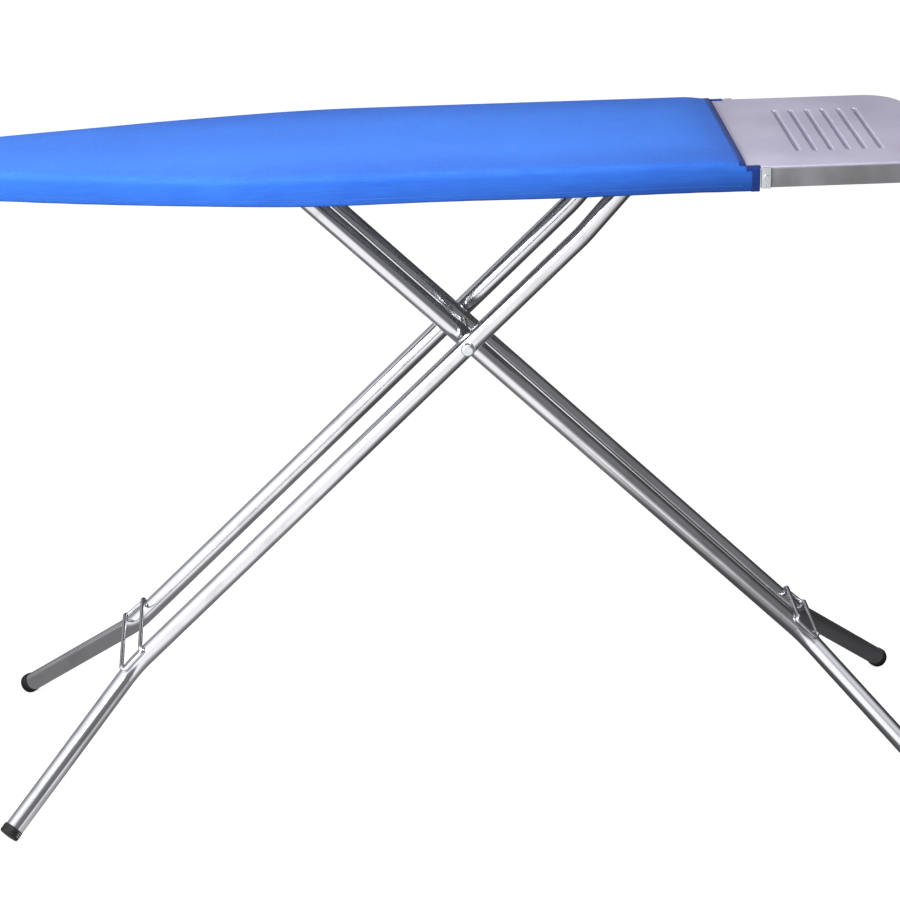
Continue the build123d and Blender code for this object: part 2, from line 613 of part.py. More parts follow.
# ---------------------------------------------------------------- height catch
def make_catch():
    low = PIVOT_Z + ROD_D / 2 + CATCH_CLEAR
    high = low + CATCH_HEIGHT
    end_x = ROD_X + 30
    bar = box(CATCH_X, end_x, -CATCH_SHEET / 2, CATCH_SHEET / 2, low, high)
    pitch = (ROD_X - ROD_STOP_X) / NOTCH_COUNT
    for number in range(NOTCH_COUNT + 1):
        bar -= bar_y(ROD_X - number * pitch, low, NOTCH_RADIUS, -CATCH_SHEET, CATCH_SHEET)
    hub_end = RAIL_Y - RAIL_SHEET / 2 - PLAY
    bar += bar_y(CATCH_X, CATCH_Z, CATCH_HUB_D / 2, -hub_end, hub_end)
    bar -= bar_y(CATCH_X, CATCH_Z, CATCH_PIN_D / 2 + RUNNING_FIT, -hub_end, hub_end)
    nodes["catch_bar"] = bar
    wire_z = high - WIRE_D / 2 - 1
    start = Vector(end_x - 18, 0, wire_z)
    corner = Vector(start.X + WIRE_RUN, 0, wire_z)
    grip_y = BOARD_WIDTH / 2 - GRIP_FROM_EDGE
    tip = Vector(corner.X, grip_y, wire_z)
    wire = swept_tube([start, corner, tip], [WIRE_BEND], WIRE_D, 0)
    nodes["catch_wire"] = wire - box(
        end_x - 60, end_x, -CATCH_SHEET / 2, CATCH_SHEET / 2, low, high
    )
    grip = bar_y(corner.X, wire_z, GRIP_D / 2, grip_y - GRIP_LENGTH + 8, grip_y + 3)
    grip = fillet(grip.edges().filter_by(GeomType.CIRCLE), 2.0)
    nodes["catch_grip"] = grip - bar_y(corner.X, wire_z, WIRE_D / 2, grip_y - GRIP_LENGTH, grip_y)
    spring_z = high
    spring_x = ROD_X - 18
    height = UNDER_Z - spring_z - SPRING_WIRE
    coil = Helix(pitch=height / SPRING_COILS, height=height, radius=SPRING_R)
    section = Plane(origin=coil @ 0, z_dir=coil % 0) * Circle(SPRING_WIRE / 2)
    spring = sweep(section, path=coil, is_frenet=True)
    nodes["catch_spring"] = Pos(spring_x, 0, spring_z + SPRING_WIRE / 2) * spring


# ---------------------------------------------------------------- build and write
make_deck()
make_iron_rest()
make_outer_leg()
make_inner_leg()
make_crossing_bolt()
make_pivot_saddles()
make_rails()
make_catch()

boxes = [shape.bounding_box() for shape in nodes.values()]
low_x = min(b.min.X for b in boxes)
high_x = max(b.max.X for b in boxes)
shift = Vector(-(low_x + high_x) / 2, 0, -min(b.min.Z for b in boxes))

for name, shape in nodes.items():
    export_step(Pos(shift.X, shift.Y, shift.Z) * shape, f"parts/{name}.step")

print("nodes", len(nodes))
print("length", high_x - low_x, "shift", shift)
print("fold pivot", PIVOT + shift)
print("crossing", CROSSING + shift)
print("rod", ROD + shift)
print("catch pin", Vector(CATCH_X, 0, CATCH_Z) + shift)
print("deck underside", UNDER_Z + shift.Z, "panel top", PANEL_TOP_Z + shift.Z)
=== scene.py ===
"""Looks of the folding ironing board: cloth cover, felt pad, enamelled sheet, chromed legs."""

import json
import math
import random

import bmesh
import bpy
from mathutils import Matrix, Vector, noise


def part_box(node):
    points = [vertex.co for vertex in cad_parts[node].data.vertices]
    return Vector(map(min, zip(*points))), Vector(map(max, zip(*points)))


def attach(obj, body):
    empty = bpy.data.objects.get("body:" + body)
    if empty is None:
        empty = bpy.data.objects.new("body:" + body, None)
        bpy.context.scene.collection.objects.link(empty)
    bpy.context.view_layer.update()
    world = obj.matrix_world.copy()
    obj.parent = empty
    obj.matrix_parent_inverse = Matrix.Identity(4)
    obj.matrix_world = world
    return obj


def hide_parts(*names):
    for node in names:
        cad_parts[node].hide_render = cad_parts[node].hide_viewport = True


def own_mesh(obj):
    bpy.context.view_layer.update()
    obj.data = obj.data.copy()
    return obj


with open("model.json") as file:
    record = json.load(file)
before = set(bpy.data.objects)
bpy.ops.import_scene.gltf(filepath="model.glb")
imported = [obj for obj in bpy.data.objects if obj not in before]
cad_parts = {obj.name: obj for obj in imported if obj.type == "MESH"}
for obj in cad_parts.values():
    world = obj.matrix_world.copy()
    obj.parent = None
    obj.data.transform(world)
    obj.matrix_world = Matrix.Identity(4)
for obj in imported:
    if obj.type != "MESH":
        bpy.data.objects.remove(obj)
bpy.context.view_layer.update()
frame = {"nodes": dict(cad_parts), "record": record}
cad_nodes = frame["nodes"]
ops = bpy.ops
scene = bpy.context.scene

# ---- sizes, in metres
HEEL_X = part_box("cover")[1][0]
TOP_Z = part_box("cover")[1][2]
SKIRT_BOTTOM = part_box("cover")[0][2]
PANEL_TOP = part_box("deck_panel")[1][2]
HALF_WIDTH = 0.150
NOSE_RADIUS = 0.063
NOSE_X = HEEL_X - 1.110 + NOSE_RADIUS
TAPER = math.radians(12.1)
TAPER_RADIUS = 1.2
TAPER_X = HEEL_X - 0.5207
PAD_TOP = TOP_Z - 0.0012
PAD_END_X = HEEL_X - 0.021
CLOTH = 0.0009
TUBE_R = 0.0127


# ---- camera
def set_camera():
    yaw, pitch, roll = 0.06607, 0.39741, -0.01482
    ahead = Vector((math.sin(yaw) * math.cos(pitch), math.cos(yaw) * math.cos(pitch), -math.sin(pitch)))
    level = Vector((math.cos(yaw), -math.sin(yaw), 0))
    above = level.cross(ahead)
    right = math.cos(roll) * level + math.sin(roll) * above
    up = math.cos(roll) * above - math.sin(roll) * level
    data = bpy.data.cameras.new("camera")
    data.sensor_width = 36
    data.lens = 117.0
    data.clip_start, data.clip_end = 0.1, 60
    camera = bpy.data.objects.new("camera", data)
    scene.collection.objects.link(camera)
    place = Matrix((right, up, -ahead)).transposed().to_4x4()
    place.translation = (-0.20256, -3.62059, 1.96722)
    camera.matrix_world = place
    scene.camera = camera


set_camera()


# ---- laying nodes
def lay(tree, kind, feeds=None, **settings):
    """Adds a node; feeds are sockets to link or values to set, by the input's name or number."""
    made = tree.nodes.new(kind)
    for name, value in settings.items():
        setattr(made, name, value)
    for name, value in (feeds or {}).items():
        socket = made.inputs[name]
        if isinstance(value, bpy.types.NodeSocket):
            tree.links.new(value, socket)
        else:
            socket.default_value = value
    return made


def sums(tree, operation, first, second=0.5):
    return lay(tree, "ShaderNodeMath", {0: first, 1: second}, operation=operation).outputs[0]


def times(tree, first, second):
    return sums(tree, "MULTIPLY", first, second)


def noise_at(tree, vector, scale, detail, **others):
    feeds = {"Vector": vector, "Scale": scale, "Detail": detail, **others}
    return lay(tree, "ShaderNodeTexNoise", feeds).outputs[0]


def spread(tree, value, low, high, to_low=0.0, to_high=1.0, smooth=True):
    """Maps value from low..high to to_low..to_high, and holds it there outside."""
    feeds = {"Value": value, "From Min": low, "From Max": high, "To Min": to_low, "To Max": to_high}
    style = "SMOOTHSTEP" if smooth else "LINEAR"
    return lay(tree, "ShaderNodeMapRange", feeds, interpolation_type=style).outputs["Result"]


def blend_colour(tree, share, first, second):
    """Mixes two colours, each a socket or red, green and blue."""
    first, second = (c + (1,) if isinstance(c, tuple) else c for c in (first, second))
    return lay(tree, "ShaderNodeMix", {0: share, 6: first, 7: second}, data_type="RGBA").outputs[2]


def new_effect(name, outputs, **inputs):
    """An empty node group: a Vector and numbers go in, numbers come out; _ stands for a space."""
    tree = bpy.data.node_groups.new(name, "ShaderNodeTree")
    sockets = tree.interface.new_socket
    sockets("Vector", in_out="INPUT", socket_type="NodeSocketVector")
    for label, value in inputs.items():
        label = label.replace("_", " ")
        sockets(label, in_out="INPUT", socket_type="NodeSocketFloat").default_value = value
    for label in outputs:
        sockets(label, in_out="OUTPUT", socket_type="NodeSocketFloat")
    return tree, tree.nodes.new("NodeGroupInput").outputs, tree.nodes.new("NodeGroupOutput").inputs


def weave_effect():
    """Plain weave: at each crossing one of the two threads rides on top."""
    tree, given, result = new_effect("plain_weave", ("Height", "Shade"), Threads_per_metre=1100.0, Slub=0.35)
    counted = lay(tree, "ShaderNodeVectorMath", {0: given["Vector"], "Scale": given["Threads per metre"]},
                  operation="SCALE").outputs[0]
    axes = lay(tree, "ShaderNodeSeparateXYZ", {0: counted}).outputs
    across = sums(tree, "SINE", times(tree, axes[0], math.pi))
    along = sums(tree, "SINE", times(tree, axes[1], math.pi))
    on_top = sums(tree, "GREATER_THAN", times(tree, across, along), 0.0)
    warp = sums(tree, "ABSOLUTE", across)
    weft = sums(tree, "ABSOLUTE", along)
    threads = lay(tree, "ShaderNodeMix", {0: on_top, 2: weft, 3: warp}).outputs[0]
    drawn = lay(tree, "ShaderNodeMapping", {"Vector": counted, "Scale": (0.02, 0.35, 1.0)}).outputs[0]
    slubs = noise_at(tree, drawn, 1.0, 2.0)
    slub_share = times(tree, sums(tree, "SUBTRACT", slubs, 0.5), given["Slub"])
    tree.links.new(sums(tree, "ADD", threads, slub_share), result["Height"])
    tree.links.new(spread(tree, slubs, 0.3, 0.7), result["Shade"])
    return tree


def mottle_effect():
    """Slow, soft change over the surface, from Low to High."""
    tree, given, result = new_effect("soft_mottle", ("Value",), Scale=8.0, Detail=3.0, Low=0.0, High=1.0)
    cloud = noise_at(tree, given["Vector"], given["Scale"], given["Detail"])
    tree.links.new(spread(tree, cloud, 0.3, 0.7, given["Low"], given["High"]), result["Value"])
    return tree


def wear_effect():
    """Mask of worn outer edges, broken up by noise."""
    tree, given, result = new_effect("edge_wear", ("Mask",), Width=0.0012, Amount=0.6, Breakup=120.0)
    rounded = lay(tree, "ShaderNodeBevel", {"Radius": given["Width"]}, samples=4).outputs[0]
    flat = lay(tree, "ShaderNodeNewGeometry").outputs["Normal"]
    turn = lay(tree, "ShaderNodeVectorMath", {0: rounded, 1: flat}, operation="DOT_PRODUCT").outputs["Value"]
    edge = spread(tree, turn, 0.998, 0.93)
    grit = noise_at(tree, given["Vector"], given["Breakup"], 5.0)
    chips = spread(tree, grit, 0.42, 0.6)
    tree.links.new(times(tree, times(tree, edge, chips), given["Amount"]), result["Mask"])
    return tree


def dust_effect():
    """Mask of dust and lint that settles on faces that look up."""
    tree, given, result = new_effect("settled_dust", ("Mask",), Amount=0.3, Scale=40.0)
    normal = lay(tree, "ShaderNodeNewGeometry").outputs["Normal"]
    facing = lay(tree, "ShaderNodeSeparateXYZ", {0: normal}).outputs[2]
    cloud = noise_at(tree, given["Vector"], given["Scale"], 6.0, Roughness=0.65)
    lying = times(tree, spread(tree, facing, 0.2, 1.0), spread(tree, cloud, 0.4, 0.75))
    tree.links.new(times(tree, lying, given["Amount"]), result["Mask"])
    return tree


def peel_effect():
    """Fine unevenness of a sprayed, moulded or plated skin, for bump."""
    tree, given, result = new_effect("skin_texture", ("Height",), Scale=300.0, Grit=0.3)
    soft = noise_at(tree, given["Vector"], given["Scale"], 1.0)
    fine = noise_at(tree, given["Vector"], times(tree, given["Scale"], 4.0), 4.0)
    share = times(tree, fine, given["Grit"])
    tree.links.new(sums(tree, "ADD", soft, share), result["Height"])
    return tree


def smudge_effect():
    """Handling marks and polish lines, as a change of roughness."""
    tree, given, result = new_effect("polish_and_smudges", ("Roughness", "Marks"), Polished=0.1, Dulled=0.3)
    marks = noise_at(tree, given["Vector"], 14.0, 4.0, Distortion=0.6)
    drawn = lay(tree, "ShaderNodeMapping", {"Vector": given["Vector"], "Scale": (30.0, 900.0, 30.0)}).outputs[0]
    lines = noise_at(tree, drawn, 1.0, 2.0)
    worn = sums(tree, "ADD", spread(tree, marks, 0.45, 0.75), times(tree, lines, 0.25))
    rough = spread(tree, worn, 0.0, 1.2, given["Polished"], given["Dulled"], smooth=False)
    tree.links.new(rough, result["Roughness"])
    tree.links.new(worn, result["Marks"])
    return tree


EFFECTS = {
    "weave": weave_effect(),
    "mottle": mottle_effect(),
    "wear": wear_effect(),
    "dust": dust_effect(),
    "skin": peel_effect(),
    "smudge": smudge_effect(),
}


def effect(tree, name, vector, **values):
    """Places a shared effect; values are its inputs, where _ stands for a space."""
    made = lay(tree, "ShaderNodeGroup", node_tree=EFFECTS[name])
    tree.links.new(vector, made.inputs["Vector"])
    for label, value in values.items():
        made.inputs[label.replace("_", " ")].default_value = value
    return made.outputs


def feed(shader, label, value):
    shader.id_data.links.new(value, shader.inputs[label])


def start_finish(name, **constants):
    """A material, its nodes, its shader and its Object coordinates; constants are the same all over."""
    material = bpy.data.materials.new(name)
    material.use_nodes = True
    tree = material.node_tree
    shader = tree.nodes["Principled BSDF"]
    for label, value in constants.items():
        shader.inputs[label.replace("_", " ")].default_value = value
    return material, tree, shader, lay(tree, "ShaderNodeTexCoord").outputs["Object"]


def bump(tree, shader, height, strength, depth):
    made = lay(tree, "ShaderNodeBump", {"Height": height, "Strength": strength, "Distance": depth})
    feed(shader, "Normal", made.outputs[0])


# ---- finishes
def cover_cloth():
    material, tree, shader, place = start_finish(
        "cover_cloth", Sheen_Weight=0.05, Sheen_Roughness=0.5, Specular_IOR_Level=0.15)
    weave = effect(tree, "weave", place.node.outputs["UV"], Threads_per_metre=1250.0, Slub=0.5)
    faded = effect(tree, "mottle", place, Scale=3.2, Detail=2.0)["Value"]
    ironed = effect(tree, "mottle", place, Scale=17.0, Detail=5.0)["Value"]
    along, across, height = lay(tree, "ShaderNodeSeparateXYZ", {0: place}).outputs
    # Paler along the middle, deeper at the rounded edges and the heel end: fading where the board is ironed,
    # and painted shade at the edges and the heel end.
    ironed_fade_and_edge_shade = times(tree, spread(tree, sums(tree, "ABSOLUTE", across), 0.055, 0.150, 1.0, 0.0),
                        spread(tree, along, HEEL_X - 0.110, HEEL_X - 0.010, 1.0, 0.0))
    use = sums(tree, "ADD", times(tree, faded, 0.35), times(tree, ironed_fade_and_edge_shade, 0.65))
    base_tone = blend_colour(tree, use, (0.022, 0.112, 0.560), (0.044, 0.212, 0.860))
    yarn = blend_colour(tree, times(tree, weave["Shade"], 0.18), base_tone, (0.070, 0.270, 0.900))
    # Painted shade in the weave's hollows between the threads.
    weave_hollow_shade = spread(tree, weave["Height"], 0.0, 0.7, 0.25, 0.0)
    shaded = blend_colour(tree, weave_hollow_shade, yarn, (0.016, 0.090, 0.450))
    scorched = blend_colour(tree, times(tree, ironed, 0.10), shaded, (0.07, 0.24, 0.74))
    # Painted shade: the skirt darkens within its lowest 26 mm, more so towards the heel end.
    skirt_painted_shade = times(tree, spread(tree, height, SKIRT_BOTTOM, SKIRT_BOTTOM + 0.026, 0.75, 0.0),
                 spread(tree, along, HEEL_X - 0.500, HEEL_X - 0.020, 0.15, 1.0))
    with_skirt_shade = blend_colour(tree, skirt_painted_shade, scorched, (0.014, 0.058, 0.300))
    lint = effect(tree, "dust", place, Amount=0.05, Scale=220.0)["Mask"]
    feed(shader, "Base Color", blend_colour(tree, lint, with_skirt_shade, (0.45, 0.60, 0.85)))
    feed(shader, "Roughness", spread(tree, ironed, 0.0, 1.0, 0.70, 0.86))
    ripple = effect(tree, "mottle", place, Scale=26.0, Detail=3.0)["Value"]
    relief = sums(tree, "ADD", times(tree, weave["Height"], 0.35), times(tree, ripple, 1.2))
    bump(tree, shader, relief, 0.55, 0.0003)
    return material


def cover_thread():
    material, tree, shader, place = start_finish("cover_thread", Roughness=0.6, Sheen_Weight=0.2)
    twist = lay(tree, "ShaderNodeTexWave", {"Vector": place, "Scale": 900.0, "Distortion": 1.0},
                bands_direction="DIAGONAL").outputs[1]
    feed(shader, "Base Color", blend_colour(tree, twist, (0.020, 0.105, 0.50), (0.06, 0.22, 0.80)))
    bump(tree, shader, twist, 0.5, 0.0001)
    return material


def binding_tape():
    """Navy cotton tape, ribbed across its length."""
    material, tree, shader, place = start_finish("binding_tape", Sheen_Weight=0.08, Specular_IOR_Level=0.2)
    weave = effect(tree, "weave", place, Threads_per_metre=1500.0, Slub=0.3)
    cloud = effect(tree, "mottle", place, Scale=30.0, Detail=4.0)["Value"]
    base_tone = blend_colour(tree, cloud, (0.010, 0.036, 0.210), (0.015, 0.048, 0.270))
    # Painted shade in the weave's hollows between the threads.
    weave_hollow_shade = spread(tree, weave["Height"], 0.0, 0.7, 0.5, 0.0)
    feed(shader, "Base Color", blend_colour(tree, weave_hollow_shade, base_tone, (0.005, 0.016, 0.10)))
    feed(shader, "Roughness", spread(tree, cloud, 0.0, 1.0, 0.72, 0.86))
    bump(tree, shader, weave["Height"], 0.5, 0.0002)
    return material


def pad_felt():
    material, tree, shader, place = start_finish("pad_felt", Sheen_Weight=0.4, Specular_IOR_Level=0.2)
    fibres = noise_at(tree, place, 420.0, 8.0, Distortion=2.5)
    cloud = effect(tree, "mottle", place, Scale=22.0, Detail=4.0)["Value"]
    wool = blend_colour(tree, fibres, (0.55, 0.54, 0.50), (0.88, 0.87, 0.83))
    feed(shader, "Base Color", blend_colour(tree, times(tree, cloud, 0.25), wool, (0.62, 0.60, 0.52)))
    feed(shader, "Roughness", spread(tree, fibres, 0.3, 0.7, 0.85, 0.98))
    bump(tree, shader, fibres, 0.7, 0.0006)
    return material


def sheet_enamel(name, pale, deep, chip, gloss, dust, wear=0.45, mottling=6.0, groove=None):
    """Sprayed enamel on pressed steel: orange peel, worn edges and a little dust.

    groove is (height of the flat top, depth, colour) of the painted shade in the pressed grooves.
    """
    material, tree, shader, place = start_finish(name, Coat_Weight=0.25, Coat_Roughness=0.18)
    cloud = effect(tree, "mottle", place, Scale=mottling, Detail=3.0)["Value"]
    paint = blend_colour(tree, cloud, deep, pale)
    if groove:
        # Painted shade: darker the deeper it lies in a pressed groove, below the flat top.
        height = lay(tree, "ShaderNodeSeparateXYZ", {0: place}).outputs[2]
        groove_shade = spread(tree, height, groove[0] - groove[1], groove[0] - 0.0002, 0.75, 0.0)
        paint = blend_colour(tree, groove_shade, paint, groove[2])
    worn = effect(tree, "wear", place, Width=0.0010, Amount=wear, Breakup=160.0)["Mask"]
    lying = effect(tree, "dust", place, Amount=dust, Scale=55.0)["Mask"]
    chipped = blend_colour(tree, worn, paint, chip)
    feed(shader, "Base Color", blend_colour(tree, lying, chipped, (0.56, 0.55, 0.53)))
    feed(shader, "Metallic", times(tree, worn, 0.85))
    rough = spread(tree, cloud, 0.0, 1.0, gloss, gloss + 0.10)
    feed(shader, "Roughness", sums(tree, "ADD", rough, times(tree, lying, 0.35)))
    skin = effect(tree, "skin", place, Scale=420.0, Grit=0.2)["Height"]
    bump(tree, shader, skin, 0.22, 0.00012)
    return material


def plated(name, bright, dull, polished, dulled, relief=0.05, spots=0.15):
    """Chrome or zinc plating with handling marks, dust specks and darker pitting."""
    material, tree, shader, place = start_finish(name)
    marks = effect(tree, "smudge", place, Polished=polished, Dulled=dulled)
    pits = noise_at(tree, place, 260.0, 6.0)
    pitted = times(tree, spread(tree, pits, 0.60, 0.72), spots)
    clouded = blend_colour(tree, spread(tree, marks["Marks"], 0.1, 1.0), bright, dull)
    feed(shader, "Base Color", blend_colour(tree, pitted, clouded, (0.16, 0.14, 0.12)))
    lying = effect(tree, "dust", place, Amount=0.10, Scale=90.0)["Mask"]
    feed(shader, "Metallic", sums(tree, "SUBTRACT", 1.0, times(tree, lying, 0.6)))
    rough = sums(tree, "ADD", marks["Roughness"], times(tree, pitted, 0.8))
    feed(shader, "Roughness", rough)
    skin = effect(tree, "skin", place, Scale=160.0, Grit=0.15)["Height"]
    bump(tree, shader, skin, relief, 0.0002)
    return material


def moulded(name, dark, light, low, high, scale, relief, wear):
    """Rubber or moulded plastic with a fine grain and scuffed edges."""
    material, tree, shader, place = start_finish(name, Specular_IOR_Level=0.4)
    grain = effect(tree, "skin", place, Scale=scale, Grit=0.8)["Height"]
    scuffs = effect(tree, "wear", place, Width=0.0009, Amount=wear, Breakup=220.0)["Mask"]
    cloud = effect(tree, "mottle", place, Scale=60.0, Detail=5.0)["Value"]
    body = blend_colour(tree, times(tree, cloud, 0.35), dark, light)
    lying = effect(tree, "dust", place, Amount=0.25, Scale=120.0)["Mask"]
    scuffed = blend_colour(tree, scuffs, body, light)
    feed(shader, "Base Color", blend_colour(tree, lying, scuffed, (0.30, 0.29, 0.27)))
    feed(shader, "Roughness", spread(tree, cloud, 0.0, 1.0, low, high))
    bump(tree, shader, grain, relief, 0.0002)
    return material


FINISH = {
    "cover_cloth": cover_cloth(),
    "thread": cover_thread(),
    "binding": binding_tape(),
    "pad_felt": pad_felt(),
    "deck_enamel": sheet_enamel("deck_enamel", (0.42, 0.43, 0.46), (0.34, 0.35, 0.38),
                                (0.50, 0.49, 0.47), 0.36, 0.25),
    "tray_enamel": sheet_enamel("tray_enamel", (0.64, 0.61, 0.77), (0.57, 0.54, 0.70),
                                (0.56, 0.55, 0.58), 0.34, 0.08, wear=0.3, mottling=9.0,
                                # The grooves' painted shade: height of the top, depth and colour.
                                groove=(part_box("iron_rest_tray")[1][2], 0.0022, (0.22, 0.20, 0.30))),
    # Darker grey for the tray's flange and underside: partly plain steel, partly painted shade on faces that
    # turn sideways and down.
    "tray_edge": sheet_enamel("tray_edge", (0.28, 0.28, 0.31), (0.19, 0.19, 0.19),
                              (0.42, 0.41, 0.40), 0.30, 0.10, wear=0.6, mottling=14.0),
    "bracket_zinc": plated("bracket_zinc", (0.80, 0.84, 0.87), (0.62, 0.66, 0.68), 0.28, 0.46, 0.06, 0.3),
    "leg_chrome": plated("leg_chrome", (0.76, 0.76, 0.80), (0.64, 0.64, 0.67), 0.13, 0.20, 0.004, 0.05),
    "cap_rubber": moulded("cap_rubber", (0.012, 0.012, 0.013), (0.06, 0.06, 0.06), 0.55, 0.8, 500.0, 0.5, 0.4),
    "black_plastic": moulded("black_plastic", (0.016, 0.016, 0.018), (0.09, 0.09, 0.09), 0.32, 0.5, 700.0,
                             0.25, 0.4),
    "white_nylon": moulded("white_nylon", (0.62, 0.62, 0.58), (0.80, 0.80, 0.78), 0.35, 0.5, 400.0, 0.15, 0.2),
}


# ---- modelling by hand
def put_down():
    """Nothing is selected and nothing is being edited."""
    if bpy.context.object and bpy.context.object.mode != "OBJECT":
        ops.object.mode_set(mode="OBJECT")
    ops.object.select_all(action="DESELECT")


def take(piece):
    put_down()
    piece.select_set(True)
    bpy.context.view_layer.objects.active = piece
    return piece


def add_piece(name, data):
    piece = bpy.data.objects.new(name, data)
    scene.collection.objects.link(piece)
    return take(piece)


def edit_all(piece):
    take(piece)
    ops.object.mode_set(mode="EDIT")
    ops.mesh.select_all(action="SELECT")


def face_outwards(piece):
    edit_all(piece)
    ops.mesh.normals_make_consistent(inside=False)
    put_down()


def named(name):
    """The primitive just added, named, with its place in its mesh."""
    piece = bpy.context.object
    piece.name = name
    piece.data.name = name
    ops.object.transform_apply(location=True, rotation=True, scale=True)
    return piece


def pick(piece, kind, test):
    """In edit mode, selects the faces or edges for which test holds."""
    ops.object.mode_set(mode="EDIT")
    ops.mesh.select_mode(type=kind)
    ops.mesh.select_all(action="DESELECT")
    mesh = bmesh.from_edit_mesh(piece.data)
    for part in {"FACE": mesh.faces, "EDGE": mesh.edges}[kind]:
        if test(part):
            part.select_set(True)
    mesh.select_flush_mode()
    bmesh.update_edit_mesh(piece.data)


def middle(edge):
    return (edge.verts[0].co + edge.verts[1].co) / 2


def modify(piece, kind, **settings):
    take(piece)
    made = piece.modifiers.new(kind.lower(), kind)
    for name, value in settings.items():
        setattr(made, name, value)
    ops.object.modifier_apply(modifier=made.name)


def round_edges(piece, width, angle):
    modify(piece, "BEVEL", width=width, segments=2, limit_method="ANGLE", angle_limit=math.radians(angle),
           harden_normals=False)


def smooth(piece, angle=32.0, weighted=True):
    take(piece)
    ops.object.shade_smooth_by_angle(angle=math.radians(angle))
    if weighted:
        modify(piece, "WEIGHTED_NORMAL", keep_sharp=True, weight=100)


def set_up(piece, body, slot, *nodes, finish=None):
    """Gives a finished piece its finish, its body and the CAD nodes that it stands for."""
    piece.data.materials.clear()
    piece.data.materials.append(FINISH[finish or slot])
    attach(piece, body)
    if nodes:
        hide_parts(*nodes)
    return piece


# ---- board outline, as cross-sections
def board_sections(step, first_x):
    """Cross-sections of one half of the board from the heel to the nose.

    Each is (spine x, edge x, edge y, outward x, outward y, run along the edge).
    """
    sections, run = [], 0.0

    def add(edge_x, edge_y, turn):
        nonlocal run
        out = (-math.sin(turn), math.cos(turn))
        if sections:
            run += math.hypot(edge_x - sections[-1][1], edge_y - sections[-1][2])
        spine = edge_x + math.tan(turn) * edge_y if turn <= TAPER + 1e-6 else NOSE_X
        sections.append((spine, edge_x, edge_y, out[0], out[1], run))

    count = max(2, round((first_x - TAPER_X) / step))
    for k in range(count):
        add(first_x + (TAPER_X - first_x) * k / count, HALF_WIDTH, 0.0)
    centre_y = HALF_WIDTH - TAPER_RADIUS
    count = max(2, round(TAPER_RADIUS * TAPER / step))
    for k in range(count):
        turn = TAPER * k / count
        add(TAPER_X - TAPER_RADIUS * math.sin(turn), centre_y + TAPER_RADIUS * math.cos(turn), turn)
    start = (TAPER_X - TAPER_RADIUS * math.sin(TAPER), centre_y + TAPER_RADIUS * math.cos(TAPER))
    end = (NOSE_X - NOSE_RADIUS * math.sin(TAPER), NOSE_RADIUS * math.cos(TAPER))
    count = max(2, round(math.dist(start, end) / step))
    for k in range(count):
        add(start[0] + (end[0] - start[0]) * k / count, start[1] + (end[1] - start[1]) * k / count, TAPER)
    count = max(6, round(NOSE_RADIUS * (math.pi / 2 - TAPER) / (step * 0.8)))
    for k in range(count + 1):
        turn = TAPER + (math.pi / 2 - TAPER) * k / count
        add(NOSE_X - NOSE_RADIUS * math.sin(turn), NOSE_RADIUS * math.cos(turn), turn + 1e-5 * (k > 0))
    return sections


def whole_outline(step, first_x):
    """Sections from the heel's back corner round the nose to its front corner."""
    back = board_sections(step, first_x)
    total = back[-1][5]
    front = [(s, x, -y, ox, -oy, 2 * total - run) for s, x, y, ox, oy, run in back[-2::-1]]
    return back + front


EDGE_ROUND = 0.0080
HEM_ROUND = 0.0028
HEM_TURN = 0.0080
ROLL_OFF = 0.0018
ROLL_WIDTH = 0.032
HEM_DROP = 0.0013


def ease(value, low, high):
    """0 to 1 as value goes from low to high, without corners."""
    share = min(1.0, max(0.0, (value - low) / (high - low)))
    return share * share * (3 - 2 * share)


def fullness(x, from_edge):
    """How far the padded top stands above its plain height: fuller to the heel, falling away at its edges."""
    full = (0.0005 + 0.0029 * ease(x, -0.30, -0.05)) * ease(PAD_END_X - x, -0.004, 0.034)
    return full - ROLL_OFF * max(0.0, 1.0 - from_edge / ROLL_WIDTH) ** 2


def slack(x, from_edge):
    """How far the cloth stands out from the deck's side."""
    return (0.0014 + 0.0020 * ease(x, -0.30, -0.05)) * ease(0.034 - from_edge, 0.0, 0.034)


def cover_profile():
    """Cover across the edge: (share of the way to the spine, inset, height below the top)."""
    across = []
    for k in range(ROUND_STARTS + 1):
        across.append((1 - (k / ROUND_STARTS) ** 0.60, EDGE_ROUND, 0.0))
    for k in range(1, ROUND_STEPS + 1):
        turn = math.pi / 2 * k / ROUND_STEPS
        across.append((0.0, EDGE_ROUND * (1 - math.sin(turn)), EDGE_ROUND * (1 - math.cos(turn))))
    low = TOP_Z - SKIRT_BOTTOM - HEM_ROUND
    for k in range(1, 11):
        across.append((0.0, 0.0, EDGE_ROUND + (low - EDGE_ROUND) * k / 10))
    for k in range(1, 7):
        turn = math.pi * 0.55 * k / 6
        across.append((0.0, HEM_ROUND * (1 - math.cos(turn)), low + HEM_ROUND * math.sin(turn)))
    last = across[-1]
    for k in range(1, 5):
        across.append((0.0, last[1] + HEM_TURN * k / 4, last[2] - 0.0004 * k / 4))
    return across


ROUND_STARTS, ROUND_STEPS = 16, 6
ROUND_MIDDLE = ROUND_STARTS + ROUND_STEPS // 2
PROFILE = cover_profile()
random.seed(41)
WAVES = [(random.uniform(0.017, 0.060), random.uniform(0, 2 * math.pi), random.uniform(0.4, 1.0))
         for _ in range(9)]


def gather(run, near_nose):
    """How far the drawn-in hem pushes the skirt out or in at a run along the edge, in metres."""
    sway = sum(size * math.sin(2 * math.pi * run / length + start) for length, start, size in WAVES) / 3.0
    return sway * (0.00035 + 0.00075 * near_nose)


